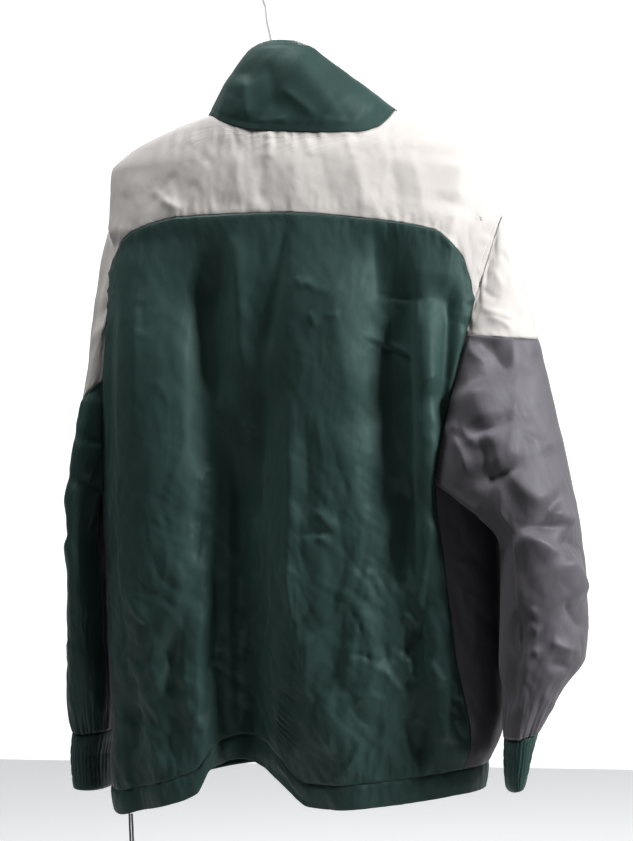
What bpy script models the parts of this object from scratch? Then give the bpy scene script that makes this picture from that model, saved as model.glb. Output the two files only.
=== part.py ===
"""Windbreaker on a plastic hanger.

The jacket hangs from the hook of its hanger. The origin is the top of the inside of the
hook. X runs along the hanger, +X to the wearer's left, the front faces -Y and +Z is up.
Tables are in millimetres; the mesh is in metres.

The body is a wall through level sections (BODY_SECTIONS). A place on it has a round angle
(0 at the wearer's left side, 90 at the back, 180 at the right side, 270 at the front) and a
height. The share is how far across the section the place is: 1 at the left, -1 at the right.
Seams are short tables on that wall, and every piece is the part of it between four seams.
"""

import bisect
import functools
import math

import bmesh
import bpy
import numpy as np
from mathutils import Matrix, Vector

MM = 0.001

# ---- driving sizes, millimetres -------------------------------------------------------
CLOTH = 1.5             # wall of one layer with its seam turnings
BAND = 2.6              # wall of a turned hem or cuff
SEAM_GAP = 0.34         # between two pieces that are sewn together
EDGE_LIFT = 1.3         # between a panel's edge and a piece that turns off it
CASING_DEEP = 28.0      # drawcord casing at the hem
ZIP_WIDE = 12.0         # two tapes and the teeth between them
ZIP_THICK = 2.2
ZIP_X = -12.0           # the zip's place across the front
CORD_THICK = 2.4
# White sleeve cap meets the coloured sleeve: height at the outer side and a quarter turn from it
CAP_SEAM = {"left": (-494.0, -458.0), "right": (-441.0, -424.0)}

# Level sections of the body: reach to the wearer's left and right, back and front, and how
# square the section is (2 is an ellipse)
BODY_SECTIONS = {
    "z":      (-150, -164, -175, -200, -222, -245, -270, -290, -313, -338, -374, -411, -470, -548,
               -620, -700, -785, -842, -887, -920, -975),
    "left":   (60, 98, 138, 200, 226, 228, 229, 231, 224, 228, 232, 236, 241, 244,
               244, 243, 243, 243, 245, 247, 247),
    "right":  (-84, -106, -123, -170, -210, -223, -230, -238, -243, -240, -236, -233, -232, -231,
               -230, -232, -233, -228, -216, -201, -197),
    "back":   (50, 53, 56, 62, 68, 73, 77, 80, 82, 84, 86, 87, 88, 88,
               87, 86, 83, 79, 75, 72, 66),
    "front":  (34, 38, 40, 45, 50, 54, 57, 59, 61, 62, 64, 65, 66, 66,
               66, 65, 63, 61, 58, 56, 54),
    "square": (1.6, 1.6, 1.6, 1.6, 1.65, 1.75, 1.9, 2.05, 2.2, 2.35, 2.5, 2.65, 2.8, 2.8,
               2.8, 2.8, 2.8, 2.8, 2.8, 2.8, 2.8),
}

# Seams that run across, height for each share
NECK_BACK = {
    "share": (-1.0, -0.83, -0.70, -0.577, -0.404, -0.16, 0.054, 0.246, 0.455, 0.70, 1.0),
    "z":     (-174, -187, -196, -200, -199, -195, -191, -184, -176, -169, -164),
}
NECK_FRONT = {
    "share": (-1.0, -0.74, -0.49, -0.35, -0.22, -0.065, 0.085, 0.216, 0.306, 0.455, 0.7, 1.0),
    "z":     (-174, -196, -226, -256, -271, -274, -270, -255, -225, -190, -172, -164),
}
YOKE_BACK = {
    "share": (-1.0, -0.96, -0.93, -0.91, -0.86, -0.79, -0.73, -0.46, 0.0, 0.52, 0.74, 0.89,
              0.95, 1.0),
    "z":     (-420, -410, -393, -374, -346, -329, -318, -303, -289, -286, -294, -307, -324, -376),
}
YOKE_FRONT = {
    "share": (-1.0, -0.92, -0.75, -0.4, 0.0, 0.4, 0.75, 0.92, 1.0),
    "z":     (-420, -380, -346, -331, -327, -326, -340, -372, -405),
}
HEM_BACK = {
    "share": (-1.0, -0.9, -0.7, -0.45, -0.3, -0.16, 0.0, 0.12, 0.25, 0.36, 0.43, 0.58, 0.78, 0.92, 1.0),
    "z":     (-940, -942, -950, -955, -957, -956, -930, -914, -908, -913, -942, -955, -966, -973, -967),
}
HEM_FRONT = {
    "share": (-1.0, -0.8, -0.5, -0.2, 0.0, 0.3, 0.6, 0.85, 1.0),
    "z":     (-940, -940, -944, -934, -926, -924, -936, -958, -967),
}

# Seams that run down, share of the section at each height
SIDE_SEAMS = {
    "z":           (-200, -288, -302, -313, -345, -401, -500, -600, -679, -785, -842, -887, -960),
    "left back":   (1.0, 1.0, 0.992, 0.985, 0.972, 0.955, 0.950, 0.950, 0.950, 0.950, 0.950, 0.950,
                    0.950),
    "left front":  (1.0, 1.0, 0.99, 0.98, 0.955, 0.92, 0.87, 0.840, 0.840, 0.850, 0.860, 0.870,
                    0.890),
    "right back":  (1.0, 1.0, 1.0, 0.99, 0.972, 0.930, 0.840, 0.760, 0.782, 0.809, 0.862, 0.915,
                    0.945),
    "right front": (1.0, 1.0, 1.0, 0.99, 0.978, 0.960, 0.935, 0.915, 0.910, 0.910, 0.910, 0.920,
                    0.930),
}
UNDERARM_Z = -596.0
SHOULDER_Z = {"left": -288.0, "right": -302.0}   # top of each armhole

# Large folds that run down: x, reach toward the left and right, depth inwards at the upper
# and lower end, heights of those ends
FOLDS = {
    "back": (
        # x, to left, to right, deep above, deep below, z above, z below
        (86, 19, 92, 4, 31, -280, -930),
        (-116, 24, 30, 9, 5, -300, -640),
        (-164, 20, 16, -4, -3, -320, -640),
        (150, 30, 26, -3, -6, -320, -900),
        (196, 16, 14, 3, 6, -360, -940),
        (-60, 26, 26, -3, -7, -560, -940),
        (-140, 20, 24, 1, 8, -700, -950),
    ),
    "front": (
        (120, 40, 30, 4, 16, -330, -940),
        (-110, 32, 44, 5, 14, -340, -940),
        (60, 24, 20, -1, -7, -420, -940),
        (-185, 20, 24, -2, -5, -500, -940),
        (190, 18, 18, -1, -5, -480, -940),
    ),
}

# Sleeve sections below the underarm: height of the middle, its place, half reach across and
# back to front, how much higher the outer side is than the inner, and turn in degrees
SLEEVE_SECTIONS = {
    "left": {
        "z":     (-652, -700, -760, -815, -850, -870, -882),
        "x":     (264, 266, 272, 276, 279, 281, 281),
        "y":     (-4, -8, -12, -15, -17, -18, -18),
        "wide":  (15, 16.5, 21.5, 25, 25, 24, 22),
        "deep":  (72, 71, 66, 60, 53, 47, 42),
        "rise":  (16, 6, 2, 0, 0, 0, 0),
        "twist": (0, 0, 0, 0, 0, 0, 0),
    },
    "right": {
        "z":     (-662, -700, -740, -780, -806, -832, -856, -872),
        "x":     (-281, -283, -284, -282, -281, -270, -260, -254),
        "y":     (31, 34, 38, 42, 45, 46, 45, 45),
        "wide":  (40, 43, 45, 46, 45, 33, 24, 18),
        "deep":  (66, 64, 61, 57, 51, 47, 43, 40),
        "rise":  (14, 6, 0, 10, 16, 12, 6, 4),
        "twist": (0, 0, 0, 2, 6, 11, 15, 17),
    },
}
CUFF_SECTIONS = {
    "left": {
        "z":     (-883, -914, -949),
        "x":     (281, 285, 285),
        "y":     (-18, -18, -18),
        "wide":  (22, 19, 19),
        "deep":  (42, 41, 40),
        "rise":  (0, 0, 2),
        "twist": (0, 0, 0),
    },
    "right": {
        "z":     (-873, -900, -930),
        "x":     (-254, -249, -245),
        "y":     (45, 45, 45),
        "wide":  (18, 13, 9),
        "deep":  (40, 39, 38),
        "rise":  (4, 5, 3),
        "twist": (17, 19, 20),
    },
}
# Where round the sleeve its two seams lie; 0 is the outer side, 0.25 the back
SLEEVE_SEAMS = {"left": (-0.06, 0.44), "right": (-0.09, 0.50)}
# How the sleeve leaves the armhole, for turns from the shoulder point by the back: how far it
# first stands out from the body, how far it falls meanwhile, and how far above the first full
# section it is already in line with it
SLEEVE_START = {
    "left": {
        "turn": (0, 0.1, 0.2, 0.3, 0.36, 0.5, 0.64, 0.7, 0.8, 0.9, 1),
        "out":  (24, 21, 18, 14, 13, 9, 13, 15, 17, 20, 24),
        "fall": (53, 47, 35, 22, 8, -2, 6, 20, 38, 50, 53),
        "join": (119, 90, 60, 36, 26, 22, 26, 36, 60, 90, 119),
    },
    "right": {
        "turn": (0, 0.1, 0.2, 0.3, 0.36, 0.5, 0.64, 0.7, 0.8, 0.9, 1),
        "out":  (22, 27, 37, 42, 34, 14, 22, 17, 15, 18, 22),
        "fall": (59, 47, 35, 22, 8, -2, 6, 36, 38, 54, 59),
        "join": (77, 66, 51, 36, 26, 22, 12, 36, 53, 71, 77),
    },
}

# Collar: round angle of the foot on the neck seam, and the place of the upper edge above it
COLLAR_EDGE = {
    "angle": (-84, -55, -25, 0, 30, 60, 90, 120, 150, 180, 205, 235, 262),
    "x":     (6, 24, 36, 38, 31, 17, 2, -14, -30, -43, -44, -42, -30),
    "y":     (-86, -74, -40, -6, 24, 37, 41, 38, 24, -8, -42, -76, -86),
    "z":     (-190, -162, -126, -106, -96, -93, -92, -94, -104, -119, -139, -167, -192),
}
COLLAR_FULL = 5.0       # how far the collar's middle stands outside the straight line
COLLAR_THICK = 2.0      # two layers
COLLAR_ENDS = (-84.0, 262.0)

# Hanger, before it is tilted: tube radius, half span, heights of the peak, of the ends of the
# arms and of the bar, and the hook
TUBE = 3.9
HANGER_TILT = math.radians(2.0)     # it hangs lower on the side to which the jacket has slid
ARM_PATH = {
    "x": (0, 22, 60, 100, 140, 172, 194, 205),
    "z": (-135, -143, -160, -177, -194.5, -209, -220, -229),
}
BAR_Z = -251.0
HOOK_RADIUS = 26.5
STEM_PATH = {
    "x": (24, 22, 17, 9, 2, 0),
    "z": (-44, -62, -84, -106, -124, -138),
}

MATERIALS = {
    # name: colour, roughness, metallic
    "green cloth":   ((0.022, 0.047, 0.041), 0.45, 0.0),
    "white cloth":   ((0.62, 0.58, 0.55), 0.5, 0.0),
    "grey cloth":    ((0.16, 0.155, 0.17), 0.45, 0.0),
    "zip tape":      ((0.012, 0.014, 0.014), 0.6, 0.0),
    "zip metal":     ((0.42, 0.42, 0.43), 0.3, 1.0),
    "white plastic": ((0.82, 0.82, 0.82), 0.3, 0.0),
    "black cord":    ((0.01, 0.011, 0.011), 0.6, 0.0),
}


# ---- small helpers ----------------------------------------------------------------------
class Curve:
    """Curve through table points that never swings past them."""

    def __init__(self, xs, ys):
        if xs[0] > xs[-1]:
            xs, ys = xs[::-1], ys[::-1]
        self.xs, self.ys = list(xs), list(ys)
        rise = [(y1 - y0) / (x1 - x0) for x0, x1, y0, y1 in zip(xs, xs[1:], ys, ys[1:])]
        turns = [0.0 if a * b <= 0 else 2 * a * b / (a + b) for a, b in zip(rise, rise[1:])]
        self.slopes = [rise[0], *turns, rise[-1]]

    def __call__(self, at):
        xs, ys, slopes = self.xs, self.ys, self.slopes
        at = min(max(at, xs[0]), xs[-1])
        i = min(max(bisect.bisect_left(xs, at) - 1, 0), len(xs) - 2)
        wide = xs[i + 1] - xs[i]
        t = (at - xs[i]) / wide
        return (ys[i] * (1 + 2 * t) * (1 - t) ** 2 + ys[i + 1] * t * t * (3 - 2 * t)
                + wide * (slopes[i] * t * (1 - t) ** 2 - slopes[i + 1] * t * t * (1 - t)))


def curves(table, key):
    """One curve for each column of a table, over its key column."""
    return {name: Curve(table[key], column) for name, column in table.items() if name != key}


def signed_power(value, power):
    return math.copysign(abs(value) ** power, value)


def ease(t):
    t = min(max(t, 0.0), 1.0)
    return t * t * (3 - 2 * t)


def mix(a, b, t):
    return a + (b - a) * t


# ---- the body's surface -----------------------------------------------------------------
BODY = curves(BODY_SECTIONS, "z")
SIDES = curves(SIDE_SEAMS, "z")


@functools.lru_cache(maxsize=100000)
def section(z):
    left, right, back, front, square = (
        BODY[name](z) for name in ("left", "right", "back", "front", "square"))
    return (left + right) / 2, (left - right) / 2, back, front, square


def share_at(angle, z):
    square = section(z)[4]
    return signed_power(math.cos(math.radians(angle)), 2 / square)


def angle_at(share, z, side):
    square = section(z)[4]
    half = math.degrees(math.acos(signed_power(min(1.0, max(-1.0, share)), square / 2)))
    return half if side == "back" else -half


def fold_depth(side, x, z):
    """How far the folds press the cloth in at a place on the back or front."""
    total = 0.0
    for x0, to_left, to_right, above, below, z_above, z_below in FOLDS[side]:
        down = (z_above - z) / (z_above - z_below)
        if down <= 0:
            continue
        reach = to_left if x > x0 else to_right
        total += mix(above, below, min(down, 1.0)) * ease(down * 6) * math.exp(-((x - x0) / reach) ** 2)
    return total


def body_point(angle, z):
    middle, half, back, front, square = section(z)
    c = math.cos(math.radians(angle))
    s = math.sin(math.radians(angle))
    x = middle + half * signed_power(c, 2 / square)
    side = "back" if s > 0 else "front"
    deep = back if s > 0 else front
    y = deep * signed_power(s, 2 / square)
    push = fold_depth(side, x, z) * ease(abs(s) * 1.6)
    return np.array((x, y - math.copysign(push, s), z))


def body_normal(angle, z):
    around = body_point(angle + 0.6, z) - body_point(angle - 0.6, z)
    down = body_point(angle, z - 1.5) - body_point(angle, z + 1.5)
    normal = np.cross(down, around)
    return normal / np.linalg.norm(normal)


def side_share(name, z):
    share = SIDES[name](z)
    return share if name.startswith("left") else -share


def side_angle(name, z):
    """Round angle of a side seam; those of the front are below 0 or above 180."""
    side = name.split()[1]
    angle = angle_at(side_share(name, z), z, side)
    if name == "right front":
        angle += 360
    return angle


def zip_angle(offset, z):
    middle, half = section(z)[:2]
    return angle_at((ZIP_X + offset - middle) / half, z, "front")


def across(table):
    """Height of a seam that runs across, at a place on the body."""
    curve = Curve(table["share"], table["z"])
    return lambda angle, z: curve(share_at(angle, z))


def level(height):
    return lambda angle, z: height


HEM_CURVES = {"back": across(HEM_BACK), "front": across(HEM_FRONT)}


def hem_height(angle, z):
    return HEM_CURVES["back" if math.sin(math.radians(angle)) > 0 else "front"](angle, z)


def casing_top(angle, z):
    return hem_height(angle, z) + CASING_DEEP


def height_at(lines, v, angle, z):
    """Height at v rows down through the lines, each line one whole step from the next."""
    i = min(int(v), len(lines) - 2)
    return mix(lines[i](angle, z), lines[i + 1](angle, z), v - i)


def body_places(edge_a, edge_b, lines, columns, rows):
    """Grid of (angle, height) between two seams that run down, over the lines across."""
    grid = []
    for v in rows:
        row = []
        for u in columns:
            z = -500.0
            for _ in range(26):
                angle = mix(edge_a(z), edge_b(z), u)
                z = mix(z, height_at(lines, v, angle, z), 0.55)
            row.append((angle, z))
        grid.append(row)
    return grid


def steps(count):
    return [i / count for i in range(count + 1)]


# ---- walls ------------------------------------------------------------------------------
def drawn_in(points, gap, sides="tblr"):
    """Moves the grid's edges in by half a seam gap; t, b, l and r name the edges."""
    out = points.copy()
    for key, edge, inner in (("t", np.s_[0, :], np.s_[1, :]), ("b", np.s_[-1, :], np.s_[-2, :]),
                             ("l", np.s_[:, 0], np.s_[:, 1]), ("r", np.s_[:, -1], np.s_[:, -2])):
        if key in sides:
            way = points[inner] - points[edge]
            out[edge] += way / np.linalg.norm(way, axis=-1, keepdims=True) * gap / 2
    return out


def wall(name, points, normals, thick, material, closed=False):
    """Closed solid round a grid of points, thick across; a closed grid wraps in its rows."""
    rows, cols = points.shape[:2]
    mesh = bpy.data.meshes.new(name)
    bm = bmesh.new()
    layers = []
    for sign in (0.5, -0.5):
        shell = points + normals * thick * sign
        layers.append([[bm.verts.new(p * MM) for p in row] for row in shell])
    outer, inner = layers
    last = cols if closed else cols - 1
    for r in range(rows - 1):
        for c in range(last):
            d = (c + 1) % cols
            bm.faces.new((outer[r][c], outer[r + 1][c], outer[r + 1][d], outer[r][d]))
            bm.faces.new((inner[r][c], inner[r][d], inner[r + 1][d], inner[r + 1][c]))
    for c in range(last):
        d = (c + 1) % cols
        bm.faces.new((outer[0][c], outer[0][d], inner[0][d], inner[0][c]))
        bm.faces.new((outer[-1][c], inner[-1][c], inner[-1][d], outer[-1][d]))
    if not closed:
        for r in range(rows - 1):
            bm.faces.new((outer[r][0], inner[r][0], inner[r + 1][0], outer[r + 1][0]))
            bm.faces.new((outer[r][-1], outer[r + 1][-1], inner[r + 1][-1], inner[r][-1]))
    bmesh.ops.triangulate(bm, faces=bm.faces)
    if bm.calc_volume(signed=True) < 0:
        bmesh.ops.reverse_faces(bm, faces=bm.faces)
    bm.to_mesh(mesh)
    bm.free()
    return place(name, mesh, material)


def place(name, mesh, material):
    item = bpy.data.objects.new(name, mesh)
    mesh.materials.append(made_material(material))
    mesh.shade_smooth()
    mesh.set_sharp_from_angle(angle=math.radians(50))
    PARTS.objects.link(item)
    return item


def made_material(name):
    if name in bpy.data.materials:
        return bpy.data.materials[name]
    colour, roughness, metallic = MATERIALS[name]
    material = bpy.data.materials.new(name)
    material.use_nodes = True
    shader = material.node_tree.nodes["Principled BSDF"]
    shader.inputs["Base Color"].default_value = (*colour, 1)
    shader.inputs["Roughness"].default_value = roughness
    shader.inputs["Metallic"].default_value = metallic
    return material


def body_grid(edges, lines, columns, rows):
    places = body_places(*edges, lines, columns, rows)
    points = np.array([[body_point(*p) for p in row] for row in places])
    normals = np.array([[body_normal(*p) for p in row] for row in places])
    return points, normals


def body_piece(name, edges, lines, columns, rows, material, thick=CLOTH, sides="tblr"):
    points, normals = body_grid(edges, lines, columns, rows)
    return wall(name, drawn_in(points, SEAM_GAP, sides), normals, thick, material)


def seam(name):
    return lambda z: side_angle(name, z)


# Seams that bound the pieces of the body, in turn from the zip by the left side to the back,
# the right side and the zip again
ZIP_LEFT = lambda z: zip_angle(ZIP_WIDE / 2, z)
ZIP_RIGHT = lambda z: zip_angle(-ZIP_WIDE / 2, z) + 360
REGIONS = {
    "front_left": (ZIP_LEFT, seam("left front")),
    "side_left": (seam("left front"), seam("left back")),
    "back": (seam("left back"), seam("right back")),
    "side_right": (seam("right back"), seam("right front")),
    "front_right": (seam("right front"), ZIP_RIGHT),
}
COLUMNS = {
    "front_left": steps(10),
    "side_left": steps(7),
    "back": sorted(steps(24) + [0.27, 0.31, 0.35, 0.39]),
    "side_right": steps(8),
    "front_right": steps(10),
}


# ---- pieces of the body -----------------------------------------------------------------
def build_body():
    neck_back, neck_front = across(NECK_BACK), across(NECK_FRONT)
    yoke_back, yoke_front = across(YOKE_BACK), across(YOKE_FRONT)
    underarm = level(UNDERARM_Z)
    yoke_rows = [0, 0.06, 0.18, 0.33, 0.5, 0.66, 0.82, 1]
    upper_rows = [i / 7 for i in range(8)]
    lower_rows = [i / 11 for i in range(12)]
    panel_rows = upper_rows + [1 + v for v in lower_rows[1:]]

    body_piece("back_yoke", REGIONS["back"], (neck_back, yoke_back), COLUMNS["back"], yoke_rows,
               "white cloth", sides="blr")
    body_piece("back_panel", REGIONS["back"], (yoke_back, underarm, casing_top), COLUMNS["back"],
               panel_rows, "green cloth")
    for side in ("left", "right"):
        region = f"front_{side}"
        body_piece(f"front_yoke_{side}", REGIONS[region], (neck_front, yoke_front), COLUMNS[region],
                   yoke_rows, "white cloth", sides="blr")
        body_piece(f"front_panel_{side}", REGIONS[region], (yoke_front, underarm, casing_top),
                   COLUMNS[region], panel_rows, "green cloth")
        region = f"side_{side}"
        body_piece(f"side_panel_{side}", REGIONS[region], (underarm, casing_top), COLUMNS[region],
                   lower_rows, "grey cloth")

    zip_edges = (lambda z: zip_angle(-ZIP_WIDE / 2, z), ZIP_LEFT)
    body_piece("zip", zip_edges, (neck_front, yoke_front, underarm, casing_top, hem_height),
               steps(2), yoke_rows + [1 + v for v in panel_rows[1:]] + [3.5, 4], "zip tape",
               thick=ZIP_THICK, sides="lr")
    build_casing()


def build_casing():
    """One band round the hem from one side of the zip to the other."""
    parts = [body_grid(REGIONS[region], (casing_top, hem_height), COLUMNS[region], steps(2))
             for region in REGIONS]
    points, normals = (
        np.concatenate([grid[i] if n == 0 else grid[i][:, 1:] for n, grid in enumerate(parts)], axis=1)
        for i in (0, 1))
    wall("hem_casing", drawn_in(points, SEAM_GAP, "tlr"), normals, BAND, "green cloth")


# ---- sleeves ------------------------------------------------------------------------------
CORNER_BACK = 0.36      # share of the way round at which the armhole's lower corners lie
CORNER_FRONT = 0.64
UNDERARM_OUT = 1.8      # how far outside the side panel the sleeve starts
SHOULDER_OUT = 0.8


def armhole(side, turn):
    """Where the sleeve starts, just off the panels' edges, and the body's outward direction
    there; turn runs 0-1 from the shoulder point by the back, the underarm and the front."""
    turn %= 1.0
    low, top = UNDERARM_Z, SHOULDER_Z[side]
    if turn < CORNER_BACK or turn > CORNER_FRONT:
        down = turn / CORNER_BACK if turn < CORNER_BACK else (1 - turn) / (1 - CORNER_FRONT)
        z = mix(top, low, down)
        angle = side_angle(f"{side} back" if turn < CORNER_BACK else f"{side} front", z)
        beside = 1 - max(0.0, 1 - (z - low) / 12) * 0.5
        above = max(0.0, 1 - (top - z) / 16)
    else:
        z = low
        t = (turn - CORNER_BACK) / (CORNER_FRONT - CORNER_BACK)
        angle = mix(side_angle(f"{side} back", z), side_angle(f"{side} front", z), t)
        beside, above = 0.5 * abs(2 * t - 1) ** 9, 0.0
    point, normal = body_point(angle, z), body_normal(angle, z)
    # directions over the body: round it into the armhole, and up
    into_armhole = 1 if (side == "left") == (turn > 0.5) else -1
    along = body_point(angle + into_armhole, z) - point
    along /= np.linalg.norm(along)
    up = body_point(angle, z + 2) - point
    up /= np.linalg.norm(up)
    away = mix(along * beside + up * (1 - beside), -up, above)
    off = away / np.linalg.norm(away) * EDGE_LIFT
    return point + off + normal * (UNDERARM_OUT * (1 - beside) ** 0.5 + SHOULDER_OUT * above), normal


SLEEVES = {side: curves(table, "z") for side, table in SLEEVE_SECTIONS.items()}
CUFFS = {side: curves(table, "z") for side, table in CUFF_SECTIONS.items()}
STARTS = {side: curves(table, "turn") for side, table in SLEEVE_START.items()}


def tube_point(shape, side, turn, z_mid):
    """Point of a sleeve section, 0 at its outer side and 0.25 at its back."""
    x, y, wide, deep, rise, twist = (
        shape[name](z_mid) for name in ("x", "y", "wide", "deep", "rise", "twist"))
    outward = 1 if side == "left" else -1
    c = math.cos(2 * math.pi * turn)
    s = math.sin(2 * math.pi * turn)
    across, back = outward * wide * signed_power(c, 0.9), deep * signed_power(s, 0.9)
    turned_c, turned_s = math.cos(math.radians(twist)), math.sin(math.radians(twist))
    return np.array((x + across * turned_c - back * turned_s,
                     y + across * turned_s + back * turned_c, z_mid + rise * c))


@functools.lru_cache(maxsize=4000)
def sleeve_handles(side, turn):
    """Four points of the curve from the armhole to the first full section."""
    shape = SLEEVES[side]
    first = SLEEVE_SECTIONS[side]["z"][0]
    start, normal = armhole(side, turn)
    out, fall, join = (STARTS[side][name](turn % 1.0) for name in ("out", "fall", "join"))
    end = tube_point(shape, side, turn, first)
    below = tube_point(shape, side, turn, first - 30)
    rising = (end - below) / np.linalg.norm(end - below)
    level_out = normal * np.array((1, 1, 0))
    return start, start + level_out * out + np.array((0, 0, -fall)), end + rising * join, end


def sleeve_point(side, turn, t):
    """t is 0 at the armhole, 1 at the first full section and 2 at the cuff seam."""
    if t > 1:
        heights = SLEEVE_SECTIONS[side]["z"]
        return tube_point(SLEEVES[side], side, turn, mix(heights[0], heights[-1], t - 1))
    a, b, c, d = sleeve_handles(side, turn)
    return (1 - t) ** 3 * a + 3 * t * (1 - t) ** 2 * b + 3 * t * t * (1 - t) * c + t ** 3 * d


def sleeve_normal(side, turn, t):
    outward = 1 if side == "left" else -1
    around = sleeve_point(side, turn + 0.004, t) - sleeve_point(side, turn - 0.004, t)
    down = sleeve_point(side, turn, min(t + 0.01, 2)) - sleeve_point(side, turn, max(t - 0.01, 0))
    normal = np.cross(around, down) * outward
    return normal / np.linalg.norm(normal)


def last_above(is_above):
    """Largest share from 0 to 1 for which the test still holds; it holds from 0 up to there."""
    low, high = 0.0, 1.0
    for _ in range(30):
        middle = (low + high) / 2
        if is_above(middle):
            low = middle
        else:
            high = middle
    return low


def cap_seam_height(side, turn):
    outer, quarter = CAP_SEAM[side]
    return mix(outer, quarter, 1 - math.cos(2 * math.pi * turn))


def cap_seam(side, turn):
    """t at which the sleeve comes down to the seam under the white cap, 0 if it starts below."""
    height = cap_seam_height(side, turn)
    return last_above(lambda t: sleeve_point(side, turn, t)[2] > height)


def armhole_corner(side, which, above=0.0):
    """Turn at which the armhole comes down to the cap's seam, or to a height above it."""
    reach = CORNER_BACK if which == "back" else CORNER_FRONT - 1
    down = last_above(lambda share: mix(SHOULDER_Z[side], UNDERARM_Z, share)
                      > cap_seam_height(side, reach * share) + above)
    return reach * down % 1.0


def sleeve_grid(side, turns, starts, ends, rows):
    points, normals = [], []
    for v in rows:
        spots = [(turn, mix(a, b, v)) for turn, a, b in zip(turns, starts, ends)]
        points.append([sleeve_point(side, *spot) for spot in spots])
        normals.append([sleeve_normal(side, *spot) for spot in spots])
    return np.array(points), np.array(normals)


def sleeve_turns(side):
    """Columns round the sleeve for its back piece, its front piece and the cap."""
    seam_a, seam_b = SLEEVE_SEAMS[side]
    corner_back, corner_front = (armhole_corner(side, which) for which in ("back", "front"))
    cap_back, cap_front = (armhole_corner(side, which, above=8) for which in ("back", "front"))

    def between(*stops):
        return sorted({round(mix(a, b, u), 5) for a, b, n in stops for u in steps(n)})
    back = between((seam_a, 0, 1), (0, cap_back, 4), (cap_back, corner_back, 1),
                   (corner_back, CORNER_BACK, 5), (CORNER_BACK, seam_b, 3))
    front = between((seam_b, CORNER_FRONT, 3), (CORNER_FRONT, corner_front, 5),
                    (corner_front, cap_front, 1), (cap_front, seam_a + 1, 4))
    cap = [t - 1 for t in front if t >= round(cap_front, 5)]
    cap += [t for t in back if seam_a < t <= round(cap_back, 5) and t - cap[-1] > 1e-4]
    return back, front, cap


def build_sleeves():
    colours = {"left": ("green cloth", "grey cloth"), "right": ("grey cloth", "green cloth")}
    for side in ("left", "right"):
        back, front, cap = sleeve_turns(side)
        ends = [cap_seam(side, turn) for turn in cap]
        points, normals = sleeve_grid(side, cap, [0] * len(cap), ends, steps(4))
        wall(f"sleeve_cap_{side}", drawn_in(points, SEAM_GAP, "b"), normals, CLOTH, "white cloth")
        for part, turns, colour in zip(("back", "front"), (back, front), colours[side]):
            starts = [cap_seam(side, turn) for turn in turns]
            points, normals = sleeve_grid(side, turns, starts, [2] * len(turns), steps(15))
            wall(f"sleeve_{part}_{side}", drawn_in(points, SEAM_GAP), normals, CLOTH, colour)


def build_cuffs():
    for side in ("left", "right"):
        shape = CUFFS[side]
        heights = [mix(CUFF_SECTIONS[side]["z"][0], CUFF_SECTIONS[side]["z"][-1], v) for v in steps(3)]
        turns = [i / 28 for i in range(28)]
        points = np.array([[tube_point(shape, side, turn, z) for turn in turns] for z in heights])
        around = np.roll(points, -1, axis=1) - np.roll(points, 1, axis=1)
        normals = np.cross(around, np.array((0, 0, -1.0)))
        if side == "right":
            normals = -normals
        normals /= np.linalg.norm(normals, axis=-1, keepdims=True)
        wall(f"cuff_{side}", points, normals, BAND, "green cloth", closed=True)


# ---- collar -------------------------------------------------------------------------------
NECK_LINES = {"back": across(NECK_BACK), "front": across(NECK_FRONT)}
COLLAR = curves(COLLAR_EDGE, "angle")


def neck_height(angle):
    line = NECK_LINES["back" if math.sin(math.radians(angle)) > 0 else "front"]
    z = -200.0
    for _ in range(30):
        z = mix(z, line(angle, z), 0.5)
    return z


def neck_spot(angle):
    return body_point(angle, neck_height(angle))


def collar_foot(angle):
    """Point of the collar's lower edge, clear of the yokes below it."""
    along = neck_spot(angle + 1) - neck_spot(angle - 1)
    normal = body_normal(angle, neck_height(angle))
    away = np.cross(along, normal)
    away *= math.copysign(1 / np.linalg.norm(away), away[2])
    return neck_spot(angle) + away * EDGE_LIFT + normal * 0.3


def collar_point(angle, v):
    edge = np.array([COLLAR[name](angle) for name in ("x", "y", "z")])
    line = mix(collar_foot(angle), edge, v)
    out = line - np.array((-10.0, -5.0, line[2]))
    out /= np.linalg.norm(out)
    return line + out * COLLAR_FULL * math.sin(math.pi * v)


def collar_angles():
    """Round angles of the columns of the yokes' neck edges, between the collar's ends."""
    angles = {COLLAR_ENDS[0], COLLAR_ENDS[1]}
    for region, line in (("front_left", "front"), ("back", "back"), ("front_right", "front")):
        edge = (NECK_LINES[line], NECK_LINES[line])
        places = body_places(*REGIONS[region], edge, COLUMNS[region], [0])[0]
        angles |= {round(angle, 3) for angle, z in places}
    return sorted(a for a in angles if COLLAR_ENDS[0] <= a <= COLLAR_ENDS[1])


def build_collar():
    angles = collar_angles()
    rows = steps(5)
    points = np.array([[collar_point(a, v) for a in angles] for v in rows])
    normals = []
    for v in rows:
        row = []
        for a in angles:
            around = collar_point(a + 1, v) - collar_point(a - 1, v)
            up = collar_point(a, min(v + 0.03, 1)) - collar_point(a, max(v - 0.03, 0))
            normal = np.cross(around, up)
            row.append(normal / np.linalg.norm(normal))
        normals.append(row)
    wall("collar", points, np.array(normals), COLLAR_THICK, "green cloth")


# ---- zip slider and its pull ----------------------------------------------------------------
SLIDER = {"wide": 8.4, "tall": 11.0, "thick": 3.0}
PULL = {"wide": 5.0, "long": 25.0, "thick": 1.3}
SLIDER_BELOW_NECK = 9.0
SLIDER_CLEAR = 1.3      # over the curve of the zip
PIN_RADIUS = 0.8
PIN_OUT = 2.9           # from the slider's face to the pull's axis


def bevelled_box(size, centre, bevel):
    bpy.ops.mesh.primitive_cube_add(size=1, location=Vector(centre) * MM)
    item = bpy.context.object
    item.scale = [s * MM for s in size]
    bpy.ops.object.transform_apply(location=False, scale=True)
    if bevel:
        edge = item.modifiers.new("edge", "BEVEL")
        edge.width = bevel * MM
        edge.segments = 2
    return item


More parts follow.
